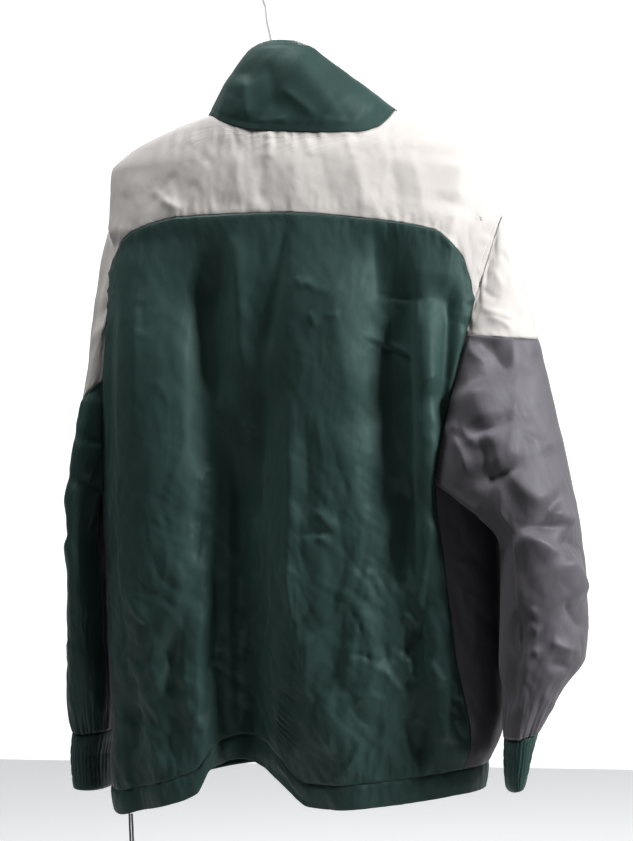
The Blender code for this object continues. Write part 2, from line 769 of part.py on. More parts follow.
def zip_frame():
    """Place and tilt of the zip's outer face at the slider."""
    z = neck_height(zip_angle(0, -274)) - SLIDER_BELOW_NECK
    angle = zip_angle(0, z)
    spot = body_point(angle, z)
    half = SLIDER["tall"] / 2
    down = body_point(zip_angle(0, z - half), z - half) - body_point(zip_angle(0, z + half), z + half)
    down /= np.linalg.norm(down)
    out = np.cross((1.0, 0.0, 0.0), -down)
    out /= np.linalg.norm(out)
    if out[1] > 0:
        out = -out
    return spot, down, out


def build_slider():
    spot, down, out = zip_frame()
    lean = math.atan2(-out[2], -out[1])
    face = ZIP_THICK / 2 + SLIDER_CLEAR
    turn = Matrix.Rotation(-lean, 4, "X")
    base = Matrix.Translation(Vector(spot) * MM) @ turn

    body = bevelled_box((SLIDER["wide"], SLIDER["thick"], SLIDER["tall"]), (0, -face - SLIDER["thick"] / 2, 0), 0.8)
    lugs = []
    pin_y = -face - SLIDER["thick"] - PIN_OUT
    for sign in (-1, 1):
        lugs.append(bevelled_box((1.2, PIN_OUT + 2.0, 3.4), (sign * 3.2, pin_y + PIN_OUT / 2, 2.0), 0))
    bpy.ops.mesh.primitive_cylinder_add(vertices=12, radius=PIN_RADIUS * MM, depth=6.6 * MM,
                                        location=(0, pin_y * MM, 2.0 * MM), rotation=(0, math.pi / 2, 0))
    lugs.append(bpy.context.object)
    for lug in lugs:
        join = body.modifiers.new("join", "BOOLEAN")
        join.operation = "UNION"
        join.object = lug
    finish_hard(body, "zip_slider", base, lugs)

    plate = bevelled_box((PULL["wide"], PULL["thick"], PULL["long"]), (0, pin_y, 2.0 - PULL["long"] / 2 + 2.4), 0)
    bpy.ops.mesh.primitive_cylinder_add(vertices=14, radius=1.9 * MM, depth=PULL["wide"] * MM,
                                        location=(0, pin_y * MM, 2.0 * MM), rotation=(0, math.pi / 2, 0))
    eye = bpy.context.object
    bpy.ops.mesh.primitive_cylinder_add(vertices=12, radius=(PIN_RADIUS + 0.35) * MM, depth=8 * MM,
                                        location=(0, pin_y * MM, 2.0 * MM), rotation=(0, math.pi / 2, 0))
    bore = bpy.context.object
    for tool, operation in ((eye, "UNION"), (bore, "DIFFERENCE")):
        change = plate.modifiers.new("eye", "BOOLEAN")
        change.operation = operation
        change.object = tool
    pull = finish_hard(plate, "zip_pull", base, [eye, bore])
    pin = base @ Vector((0, pin_y * MM, 2.0 * MM))
    pull.data.transform(Matrix.Translation(-pin))
    pull.location = pin


def finish_hard(item, name, base, tools):
    """Takes the item's cut and joined form as one mesh, set at its place on the jacket."""
    bpy.context.view_layer.update()
    ready = item.evaluated_get(bpy.context.evaluated_depsgraph_get())
    mesh = bpy.data.meshes.new_from_object(ready)
    mesh.transform(base @ item.matrix_world)
    for tool in [item, *tools]:
        bpy.data.objects.remove(tool)
    mesh.materials.clear()
    return place(name, mesh, "zip metal")


# ---- hanger -------------------------------------------------------------------------------
def tilted(x, z):
    return Vector((x * math.cos(HANGER_TILT) - z * math.sin(HANGER_TILT), 0,
                   z * math.cos(HANGER_TILT) + x * math.sin(HANGER_TILT))) * MM


def tube(name, spots, radius, closed=False, sides=2):
    curve = bpy.data.curves.new(name, "CURVE")
    curve.dimensions = "3D"
    curve.bevel_depth = radius * MM
    curve.bevel_resolution = sides
    curve.use_fill_caps = True
    spline = curve.splines.new("POLY")
    spline.points.add(len(spots) - 1)
    for point, spot in zip(spline.points, spots):
        point.co = (*spot, 1)
    spline.use_cyclic_u = closed
    item = bpy.data.objects.new(name, curve)
    bpy.context.scene.collection.objects.link(item)
    bpy.context.view_layer.update()
    ready = item.evaluated_get(bpy.context.evaluated_depsgraph_get())
    mesh = bpy.data.meshes.new_from_object(ready)
    bpy.data.objects.remove(item)
    bm = bmesh.new()
    bm.from_mesh(mesh)
    bmesh.ops.remove_doubles(bm, verts=bm.verts, dist=1e-6)
    if bm.calc_volume(signed=True) < 0:
        bmesh.ops.reverse_faces(bm, faces=bm.faces)
    bm.to_mesh(mesh)
    bm.free()
    return mesh


def arm_spots():
    """Half of the hanger's outline from its peak, round the arm's end, to the bar."""
    arm = Curve(ARM_PATH["x"], ARM_PATH["z"])
    spots = [(x, arm(x)) for x in (0, 12, 24, 45, 75, 105, 135, 160, 180, 195)]
    end_x, end_z = ARM_PATH["x"][-1], ARM_PATH["z"][-1]
    round_r = (end_z - BAR_Z) / 2
    for deg in (75, 45, 15, -15, -45, -75):
        a = math.radians(deg)
        spots.append((end_x - 8 + round_r * math.cos(a), (end_z + BAR_Z) / 2 + round_r * math.sin(a)))
    spots += [(x, BAR_Z) for x in (185, 120, 60)]
    return spots


def build_hanger():
    half = arm_spots()
    ring = [tilted(x, z) for x, z in half] + [tilted(0, BAR_Z)] + [tilted(-x, z) for x, z in reversed(half[1:])]
    frame = tube("frame", ring, TUBE, closed=True)

    hook = []
    centre_z = -HOOK_RADIUS
    reach = HOOK_RADIUS + TUBE
    for deg in range(-28, 181, 16):
        a = math.radians(180 - deg)
        hook.append((reach * math.cos(a), centre_z + reach * math.sin(a)))
    hook += [(x, z) for x, z in zip(STEM_PATH["x"], STEM_PATH["z"])]
    hook_mesh = tube("hook", [tilted(x, z) for x, z in hook], TUBE)

    item = place("hanger", frame, "white plastic")
    tool = bpy.data.objects.new("hook_tool", hook_mesh)
    CUTTERS.objects.link(tool)
    tool.hide_render = True
    tool.display_type = "WIRE"
    join = item.modifiers.new("hook", "BOOLEAN")
    join.operation = "UNION"
    join.object = tool


# ---- drawcord -----------------------------------------------------------------------------
CORD_ANGLE = 38.0       # round angle at which the cord's loop comes out of the casing
CORD_DROP = 62.0


def cord_spots():
    """One strand down from the casing, round a drop-shaped loop and up again."""
    z = hem_height(CORD_ANGLE, -960)
    foot = body_point(CORD_ANGLE, z)
    apart = CORD_THICK / 2 + 0.35
    half = [(apart, -0.75), (apart, -7), (apart + 0.2, -16), (apart + 0.1, -28), (apart + 0.5, -38),
            (4.0, -46), (5.6, -52), (5.6, -57), (3.4, -60.8)]
    route = [*half, (0.0, -CORD_DROP), *[(-x, dz) for x, dz in reversed(half)]]
    return [Vector((foot[0] + x, foot[1] + 0.015 * dz, foot[2] + dz)) * MM for x, dz in route]


def rounded_route(spots, per_span=2):
    """More points on a smooth curve through the route's own points."""
    out = []
    for i in range(len(spots) - 1):
        a, b = spots[i], spots[i + 1]
        before = spots[max(i - 1, 0)]
        after = spots[min(i + 2, len(spots) - 1)]
        for k in range(per_span):
            t = k / per_span
            out.append(0.5 * ((2 * a) + (b - before) * t + (2 * before - 5 * a + 4 * b - after) * t ** 2
                              + (3 * a - before - 3 * b + after) * t ** 3))
    return [*out, spots[-1]]


def build_cord():
    place("drawcord", tube("drawcord", rounded_route(cord_spots()), CORD_THICK / 2), "black cord")


# ---- whole --------------------------------------------------------------------------------
for old in list(bpy.data.objects):
    bpy.data.objects.remove(old)
PARTS = bpy.data.collections.new("windbreaker_on_a_hanger")
CUTTERS = bpy.data.collections.new("cutters")
for collection in (PARTS, CUTTERS):
    bpy.context.scene.collection.children.link(collection)

build_body()
build_sleeves()
build_cuffs()
build_collar()
build_slider()
build_hanger()
build_cord()
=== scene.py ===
import math

import bpy
import bmesh
import numpy as np
from mathutils import Matrix, Vector


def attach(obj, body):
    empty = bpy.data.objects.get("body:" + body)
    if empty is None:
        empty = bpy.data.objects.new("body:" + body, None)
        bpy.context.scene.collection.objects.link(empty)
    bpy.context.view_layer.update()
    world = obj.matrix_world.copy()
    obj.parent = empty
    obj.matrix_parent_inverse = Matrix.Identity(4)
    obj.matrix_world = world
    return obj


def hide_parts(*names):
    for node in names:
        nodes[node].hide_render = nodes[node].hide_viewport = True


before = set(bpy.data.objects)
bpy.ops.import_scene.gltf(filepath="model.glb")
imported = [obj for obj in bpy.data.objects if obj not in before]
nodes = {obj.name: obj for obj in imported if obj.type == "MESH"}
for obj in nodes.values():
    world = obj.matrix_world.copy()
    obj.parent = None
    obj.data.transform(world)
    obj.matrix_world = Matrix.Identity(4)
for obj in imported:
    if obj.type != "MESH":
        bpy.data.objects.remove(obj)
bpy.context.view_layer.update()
bpy.ops.object.select_all(action="DESELECT")
scene = bpy.context.scene
mm = 0.001

# camera, floor and light, as in the photograph
camera = {"place": (-0.78748, 2.37279, -0.52237), "azimuth": 18.0, "lean": 2.0,
          "focal": 2174.0, "width": 633, "height": 841}


def cameraAxes():
    a, b = math.radians(camera["azimuth"]), math.radians(camera["lean"])
    level = np.array((-math.cos(a), -math.sin(a), 0.0))
    ahead = np.array((math.sin(a), -math.cos(a), 0.0))
    upright = np.array((0.0, 0.0, 1.0))
    return (math.cos(b) * level - math.sin(b) * upright,
            math.sin(b) * level + math.cos(b) * upright, ahead)


def photoSpot(points):
    # where points of the jacket, in millimetres, come in the photograph, in its pixels
    right, up, ahead = cameraAxes()
    away = points * mm - np.array(camera["place"])
    deep = away @ ahead
    return (camera["width"] / 2 + camera["focal"] * (away @ right) / deep,
            camera["height"] / 2 - camera["focal"] * (away @ up) / deep)


def setCamera():
    right, up, ahead = (Vector(v) for v in cameraAxes())
    data = bpy.data.cameras.new("camera")
    data.sensor_fit = "VERTICAL"
    data.sensor_height = 24
    data.lens = 24 * camera["focal"] / camera["height"]
    eye = bpy.data.objects.new("camera", data)
    turn = Matrix((right, up, -ahead)).transposed().to_4x4()
    eye.matrix_world = Matrix.Translation(camera["place"]) @ turn
    scene.collection.objects.link(eye)
    scene.camera = eye


studio = {"floorHeight": -1.75, "floorSize": 40, "paint": (0.8, 0.8, 0.8), "paintRough": 0.9,
          "floorGlow": ((0.97, 0.98, 1.0, 1), 0.45), "paperGlow": ((0.98, 0.99, 1.0, 1), 0.9),
          "wallPlace": (0, -5, 1.2), "wallSize": 18, "ringTall": 14, "room": ((0.94, 0.96, 1.0, 1), 0.075),
          "lamps": (  # place, aim, size, watts
              ((-2.35, 0.62, 0.50), (0, 0, -0.5), 0.55, 165),
              ((0.95, 0.62, 1.95), (0, 0, -0.5), 0.8, 95),
              ((-0.4, 0.4, 2.15), (0, 0, -0.5), 0.8, 20),
              ((0.8, -2.2, 1.6), (0, 0, -0.5), 1.0, 60))}


def newMaterial(name, colour, roughness, sockets):
    material = bpy.data.materials.new(name)
    material.use_nodes = True
    shader = material.node_tree.nodes["Principled BSDF"]
    for key, value in {"Base Color": (*colour, 1), "Roughness": roughness, **sockets}.items():
        shader.inputs[key].default_value = value
    return material, material.node_tree, shader


def stagePiece(name, paper):
    # the mesh just added joins the studio, and gives the jacket no light of its own
    piece = bpy.context.object
    piece.name = name
    bpy.ops.object.transform_apply(location=True, rotation=True, scale=True)
    piece.data.materials.append(paper)
    piece.visible_diffuse = False
    piece.select_set(False)
    return piece


def setStudio():
    paint, paper = (
        newMaterial(name, studio["paint"], studio["paintRough"],
                    {"Emission Color": tint, "Emission Strength": glow})[0]
        for name, (tint, glow) in (("floorPaint", studio["floorGlow"]), ("backdropPaper", studio["paperGlow"])))
    bpy.ops.mesh.primitive_grid_add(x_subdivisions=4, y_subdivisions=4, size=studio["floorSize"],
                                    location=(0, 0, studio["floorHeight"]))
    stagePiece("floor", paint)
    bpy.ops.mesh.primitive_grid_add(x_subdivisions=2, y_subdivisions=2, size=studio["wallSize"],
                                    location=studio["wallPlace"], rotation=(math.radians(-90), 0, 0))
    stagePiece("backdrop", paper)
    bpy.ops.mesh.primitive_cylinder_add(vertices=96, radius=studio["wallSize"] / 2, depth=studio["ringTall"],
                                        end_fill_type="NOTHING")
    ring = stagePiece("paperRing", paper)
    ring.visible_glossy = ring.visible_shadow = False
    scene.world = bpy.data.worlds.new("room")
    scene.world.use_nodes = True
    room = scene.world.node_tree.nodes["Background"]
    room.inputs["Color"].default_value, room.inputs["Strength"].default_value = studio["room"]
    for place, aim, size, watts in studio["lamps"]:
        data = bpy.data.lights.new("softbox", "AREA")
        data.energy = watts
        data.size = size
        lamp = bpy.data.objects.new("softbox", data)
        lamp.location = place
        lamp.rotation_euler = (Vector(aim) - Vector(place)).to_track_quat("-Z", "Y").to_euler()
        scene.collection.objects.link(lamp)
    scene.view_settings.view_transform = "Standard"


setCamera()
setStudio()
print("camera and studio are set")

# the jacket's sections and seams, in millimetres
# the body: reach to left and right, back and front at each height, and how square it is
bodySections = {
    "z":      (-150, -164, -175, -200, -222, -245, -270, -290, -313, -338, -374, -411, -470, -548,
               -620, -700, -785, -842, -887, -920, -975),
    "left":   (60, 98, 138, 200, 226, 228, 229, 231, 224, 228, 232, 236, 241, 244,
               244, 243, 243, 243, 245, 247, 247),
    "right":  (-84, -106, -123, -170, -210, -223, -230, -238, -243, -240, -236, -233, -232, -231,
               -230, -232, -233, -228, -216, -201, -197),
    "back":   (50, 53, 56, 62, 68, 73, 77, 80, 82, 84, 86, 87, 88, 88,
               87, 86, 83, 79, 75, 72, 66),
    "front":  (34, 38, 40, 45, 50, 54, 57, 59, 61, 62, 64, 65, 66, 66,
               66, 65, 63, 61, 58, 56, 54),
    "square": (1.6, 1.6, 1.6, 1.6, 1.65, 1.75, 1.9, 2.05, 2.2, 2.35, 2.5, 2.65, 2.8, 2.8,
               2.8, 2.8, 2.8, 2.8, 2.8, 2.8, 2.8),
}
# seams across, height at each share of the way across
seamsAcross = {
    "neck back": {
        "share": (-1, -0.83, -0.7, -0.577, -0.404, -0.16, 0.054, 0.246, 0.455, 0.7, 1),
        "z":     (-174, -187, -196, -200, -199, -195, -191, -184, -176, -169, -164),
    },
    "neck front": {
        "share": (-1, -0.74, -0.49, -0.35, -0.22, -0.065, 0.085, 0.216, 0.306, 0.455, 0.7, 1),
        "z":     (-174, -196, -226, -256, -271, -274, -270, -255, -225, -190, -172, -164),
    },
    "yoke back": {
        "share": (-1, -0.96, -0.93, -0.91, -0.86, -0.79, -0.73, -0.46, 0, 0.52, 0.74, 0.89,
                  0.95, 1),
        "z":     (-420, -410, -393, -374, -346, -329, -318, -303, -289, -286, -294, -307, -324, -376),
    },
    "yoke front": {
        "share": (-1, -0.92, -0.75, -0.4, 0, 0.4, 0.75, 0.92, 1),
        "z":     (-420, -380, -346, -331, -327, -326, -340, -372, -405),
    },
    "hem back": {
        "share": (-1, -0.9, -0.7, -0.45, -0.3, -0.16, 0, 0.12, 0.25, 0.36, 0.43, 0.58, 0.78, 0.92, 1),
        "z":     (-940, -942, -950, -955, -957, -956, -930, -914, -908, -913, -942, -955, -966, -973, -967),
    },
    "hem front": {
        "share": (-1, -0.8, -0.5, -0.2, 0, 0.3, 0.6, 0.85, 1),
        "z":     (-940, -940, -944, -934, -926, -924, -936, -958, -967),
    },
}
# seams that run down, share of the section at each height
sideSeams = {
    "z":           (-200, -288, -302, -313, -345, -401, -500, -600, -679, -785, -842, -887, -960),
    "left back":   (1, 1, 0.992, 0.985, 0.972, 0.955, 0.95, 0.95, 0.95, 0.95, 0.95, 0.95,
                    0.95),
    "left front":  (1, 1, 0.99, 0.98, 0.955, 0.92, 0.87, 0.84, 0.84, 0.85, 0.86, 0.87,
                    0.89),
    "right back":  (1, 1, 1, 0.99, 0.972, 0.93, 0.84, 0.76, 0.782, 0.809, 0.862, 0.915,
                    0.945),
    "right front": (1, 1, 1, 0.99, 0.978, 0.96, 0.935, 0.915, 0.91, 0.91, 0.91, 0.92,
                    0.93),
}
underarmHeight = -596.0
shoulderHeight = {"left": -288, "right": -302.0}
# large folds: x, reach to left and right, depth above and below, heights of the ends
folds = {
    "back": (
        # x, to left, to right, deep above, deep below, z above, z below
        (86, 19, 92, 4, 31, -280, -930),
        (-116, 24, 30, 9, 5, -300, -640),
        (-164, 20, 16, -4, -3, -320, -640),
        (150, 30, 26, -3, -6, -320, -900),
        (196, 16, 14, 3, 6, -360, -940),
        (-60, 26, 26, -3, -7, -560, -940),
        (-140, 20, 24, 1, 8, -700, -950),
    ),
    "front": (
        (120, 40, 30, 4, 16, -330, -940),
        (-110, 32, 44, 5, 14, -340, -940),
        (60, 24, 20, -1, -7, -420, -940),
        (-185, 20, 24, -2, -5, -500, -940),
        (190, 18, 18, -1, -5, -480, -940),
    ),
}
sleeveSections = {
    "left": {
        "z":     (-652, -700, -760, -815, -850, -870, -882),
        "x":     (264, 266, 272, 276, 279, 281, 281),
        "y":     (-4, -8, -12, -15, -17, -18, -18),
        "wide":  (15, 16.5, 21.5, 25, 25, 24, 22),
        "deep":  (72, 71, 66, 60, 53, 47, 42),
        "rise":  (16, 6, 2, 0, 0, 0, 0),
        "twist": (0, 0, 0, 0, 0, 0, 0),
    },
    "right": {
        "z":     (-662, -700, -740, -780, -806, -832, -856, -872),
        "x":     (-281, -283, -284, -282, -281, -270, -260, -254),
        "y":     (31, 34, 38, 42, 45, 46, 45, 45),
        "wide":  (40, 43, 45, 46, 45, 33, 24, 18),
        "deep":  (66, 64, 61, 57, 51, 47, 43, 40),
        "rise":  (14, 6, 0, 10, 16, 12, 6, 4),
        "twist": (0, 0, 0, 2, 6, 11, 15, 17),
    },
}
cuffSections = {
    "left": {
        "z":     (-883, -914, -949),
        "x":     (281, 285, 285),
        "y":     (-18, -18, -18),
        "wide":  (22, 19, 19),
        "deep":  (42, 41, 40),
        "rise":  (0, 0, 2),
        "twist": (0, 0, 0),
    },
    "right": {
        "z":     (-873, -900, -930),
        "x":     (-254, -249, -245),
        "y":     (45, 45, 45),
        "wide":  (18, 13, 9),
        "deep":  (40, 39, 38),
        "rise":  (4, 5, 3),
        "twist": (17, 19, 20),
    },
}
sleeveSeams = {"left": (-0.06, 0.44), "right": (-0.09, 0.5)}
sleeveStart = {
    "left": {
        "turn": (0, 0.1, 0.2, 0.3, 0.36, 0.5, 0.64, 0.7, 0.8, 0.9, 1),
        "out":  (24, 21, 18, 14, 13, 9, 13, 15, 17, 20, 24),
        "fall": (53, 47, 35, 22, 8, -2, 6, 20, 38, 50, 53),
        "join": (119, 90, 60, 36, 26, 22, 26, 36, 60, 90, 119),
    },
    "right": {
        "turn": (0, 0.1, 0.2, 0.3, 0.36, 0.5, 0.64, 0.7, 0.8, 0.9, 1),
        "out":  (22, 27, 37, 42, 34, 14, 22, 17, 15, 18, 22),
        "fall": (59, 47, 35, 22, 8, -2, 6, 36, 38, 54, 59),
        "join": (77, 66, 51, 36, 26, 22, 12, 36, 53, 71, 77),
    },
}
collarEdge = {
    "angle": (-84, -55, -25, 0, 30, 60, 90, 120, 150, 180, 205, 235, 262),
    "x":     (6, 24, 36, 38, 31, 17, 2, -14, -30, -43, -44, -42, -30),
    "y":     (-86, -74, -40, -6, 24, 37, 41, 38, 24, -8, -42, -76, -86),
    "z":     (-190, -162, -126, -106, -96, -93, -92, -94, -104, -119, -139, -167, -192),
}
# seam under each white cap: height at the outer side and a quarter turn from it
capSeams = {"left": (-494, -458), "right": (-441, -424)}
sizes = {"zipWide": 12, "zipX": -12, "casingDeep": 28, "edgeLift": 0.3,
         "cornerBack": 0.36, "cornerFront": 0.64, "underarmOut": 1.8, "shoulderOut": 0.8,
         "collarFull": 5, "collarEnds": (-84, 262), "shell": 0.55}


def tableCurve(keys, values):
    # curve through table points that never swings past them
    xs, ys = np.array(keys, float), np.array(values, float)
    if xs[0] > xs[-1]:
        xs, ys = xs[::-1], ys[::-1]
    rise = np.diff(ys) / np.diff(xs)
    product, total = rise[:-1] * rise[1:], rise[:-1] + rise[1:]
    inner = np.where(product <= 0, 0.0, 2 * product / np.where(total == 0, 1.0, total))
    slopes = np.concatenate([rise[:1], inner, rise[-1:]])

    def at(x):
        x = np.clip(x, xs[0], xs[-1])
        i = np.clip(np.searchsorted(xs, x) - 1, 0, len(xs) - 2)
        wide = xs[i + 1] - xs[i]
        t = (x - xs[i]) / wide
        return (ys[i] * (1 + 2 * t) * (1 - t) ** 2 + ys[i + 1] * t * t * (3 - 2 * t)
                + wide * (slopes[i] * t * (1 - t) ** 2 - slopes[i + 1] * t * t * (1 - t)))
    return at


def tableCurves(table, key):
    return {name: tableCurve(table[key], column) for name, column in table.items() if name != key}


def mix(a, b, t):
    return a + (b - a) * t


def ease(t):
    t = np.clip(t, 0.0, 1.0)
    return t * t * (3 - 2 * t)


def signedPower(value, power):
    return np.sign(value) * np.abs(value) ** power


def unit(v):
    return v / np.maximum(np.linalg.norm(v, axis=-1, keepdims=True), 1e-9)


# the body's surface
bodyCurves = tableCurves(bodySections, "z")
sideCurves = tableCurves(sideSeams, "z")


def isBack(angle):
    return np.sin(np.radians(angle)) > 0


def foldDepth(side, x, z):
    total = np.zeros(np.broadcast(x, z).shape)
    for x0, toLeft, toRight, above, below, zAbove, zBelow in folds[side]:
        down = (zAbove - z) / (zAbove - zBelow)
        reach = np.where(x > x0, toLeft, toRight)
        total += np.where(down > 0, mix(above, below, np.clip(down, 0, 1)) * ease(down * 6)
                          * np.exp(-((x - x0) / reach) ** 2), 0.0)
    return total


def bodyPoint(angle, z):
    left, right, back, front, square = (
        bodyCurves[name](z) for name in ("left", "right", "back", "front", "square"))
    c, s = np.cos(np.radians(angle)), np.sin(np.radians(angle))
    x = (left + right) / 2 + (left - right) / 2 * signedPower(c, 2 / square)
    onBack = isBack(angle)
    y = np.where(onBack, back, front) * signedPower(s, 2 / square)
    push = np.where(onBack, foldDepth("back", x, z), foldDepth("front", x, z))
    y = y - np.sign(s) * push * ease(np.abs(s) * 1.6)
    return np.stack(np.broadcast_arrays(x, y, z), -1)


def bodyNormal(angle, z):
    around = bodyPoint(angle + 0.6, z) - bodyPoint(angle - 0.6, z)
    down = bodyPoint(angle, z - 1.5) - bodyPoint(angle, z + 1.5)
    return unit(np.cross(down, around))


def shareAt(angle, z):
    return signedPower(np.cos(np.radians(angle)), 2 / bodyCurves["square"](z))


def angleAt(share, z, side):
    half = np.degrees(np.arccos(signedPower(np.clip(share, -1, 1), bodyCurves["square"](z) / 2)))
    return half if side == "back" else -half


def sideAngle(name, z):
    share = sideCurves[name](z)
    angle = angleAt(share if name.startswith("left") else -share, z, name.split()[1])
    return angle + 360 if name == "right front" else angle


def zipAngle(offset, z):
    left, right = bodyCurves["left"](z), bodyCurves["right"](z)
    return angleAt((sizes["zipX"] + offset - (left + right) / 2) / ((left - right) / 2), z, "front")


def seamAcross(table):
    curve = tableCurve(table["share"], table["z"])
    return lambda angle, z: curve(shareAt(angle, z))


seamLines = {name: seamAcross(table) for name, table in seamsAcross.items()}


def seamHeight(name, angle, z):
    return np.where(isBack(angle), seamLines[name + " back"](angle, z), seamLines[name + " front"](angle, z))


def hemHeight(angle, z):
    return seamHeight("hem", angle, z)


def casingTop(angle, z):
    return hemHeight(angle, z) + sizes["casingDeep"]


def underarm(angle, z):
    return np.full(np.shape(angle), underarmHeight)


def bodyPlaces(edges, lines, columns, rows):
    # angle and height of a grid between two seams that run down, over the lines across
    u, v = np.meshgrid(columns, rows)
    z = np.full(u.shape, -500.0)
    step = np.minimum(v.astype(int), len(lines) - 2)
    for _ in range(26):
        angle = mix(edges[0](z), edges[1](z), u)
        heights = np.stack([line(angle, z) for line in lines])
        above = np.take_along_axis(heights, step[None], 0)[0]
        below = np.take_along_axis(heights, step[None] + 1, 0)[0]
        z = mix(z, mix(above, below, v - step), 0.55)
    return angle, z


def edgeRun(points, axis):
    # distance over the cloth from the two edges across one axis
    step = np.linalg.norm(np.diff(points, axis=axis), axis=-1)
    run = np.cumsum(step, axis=axis)
    run = np.concatenate([np.zeros_like(np.take(run, [0], axis=axis)), run], axis=axis)
    return run, np.take(run, [-1], axis=axis) - run


def evenColumns(edges, z, count):
    # columns that are evenly apart over the cloth at one height
    u = np.linspace(0, 1, 600)
    heights = np.full(600, float(z))
    line = bodyPoint(mix(edges[0](heights), edges[1](heights), u), heights)
    run = edgeRun(line, 0)[0]
    return np.interp(np.linspace(0, run[-1], count), run, u)


# the seams that run down, once round from the zip, and the stretches between them
downSeams = [lambda z: zipAngle(sizes["zipWide"] / 2, z),
             *(lambda z, name=name: sideAngle(name, z)
               for name in ("left front", "left back", "right back", "right front")),
             lambda z: zipAngle(-sizes["zipWide"] / 2, z) + 360]
regions = dict(zip(("front left", "side left", "back", "side right", "front right"),
                   zip(downSeams, downSeams[1:])))

# creases and crinkles
def softNoise(u, v, seed):
    i, j = np.floor(u), np.floor(v)
    fu, fv = u - i, v - j

    def corner(a, b):
        h = np.sin((i + a) * 127.1 + (j + b) * 311.7 + seed * 74.7) * 43758.5453
        turn = (h - np.floor(h)) * 2 * np.pi
        return np.cos(turn) * (fu - a) + np.sin(turn) * (fv - b)
    su, sv = fu ** 3 * (fu * (fu * 6 - 15) + 10), fv ** 3 * (fv * (fv * 6 - 15) + 10)
    return 1.5 * mix(mix(corner(0, 0), corner(1, 0), su), mix(corner(0, 1), corner(1, 1), su), sv)


crinkle = {"layers": (  # lean in degrees, size and length in mm, height
    (22, 30, 105, 1.0), (-26, 22, 84, 0.8), (7, 13, 58, 0.5), (-48, 12, 34, 0.3), (38, 8, 22, 0.2))}


def crumpled(u, v, seed):
    # flat facets of light nylon with sharp edges between them, about -1 to 1
    u = u + 7 * softNoise(u / 60, v / 80, seed + 40)
    v = v + 11 * softNoise(u / 70, v / 60, seed + 50)
    total = np.zeros(np.shape(u))
    for k, (lean, wide, tall, high) in enumerate(crinkle["layers"]):
        c, s = math.cos(math.radians(lean)), math.sin(math.radians(lean))
        n = softNoise((u * c + v * s) / wide, (v * c - u * s) / tall, seed + k)
        total += high * (0.45 - 1.5 * np.sqrt(n * n + 0.0016)) * (1 if k % 2 == 0 else -1)
    return total


gathers = {  # height, pitch along the seam, reach from it, seed
    "yoke": (1.5, 9.0, 20.0, 11), "neck": (2.3, 12.0, 24.0, 17), "casing": (1.7, 8.0, 19.0, 23),
    "side": (3.6, 8.0, 13.0, 29), "cap": (1.1, 9.0, 16.0, 71), "armhole": (2.6, 8.0, 11.0, 73),
    "cuff": (2.0, 7.0, 30.0, 83), "collar": (1.1, 12.0, 20.0, 105),
}


def gathered(name, along, off):
    # uneven short waves that die away from a seam
    high, pitch, reach, seed = gathers[name]
    wave = softNoise(along / pitch, off / (reach * 2.2), seed) + 0.6 * softNoise(
        along / (pitch * 0.52), off / reach, seed + 3)
    return high * (wave * np.exp(-(np.abs(off) / reach) ** 1.3))


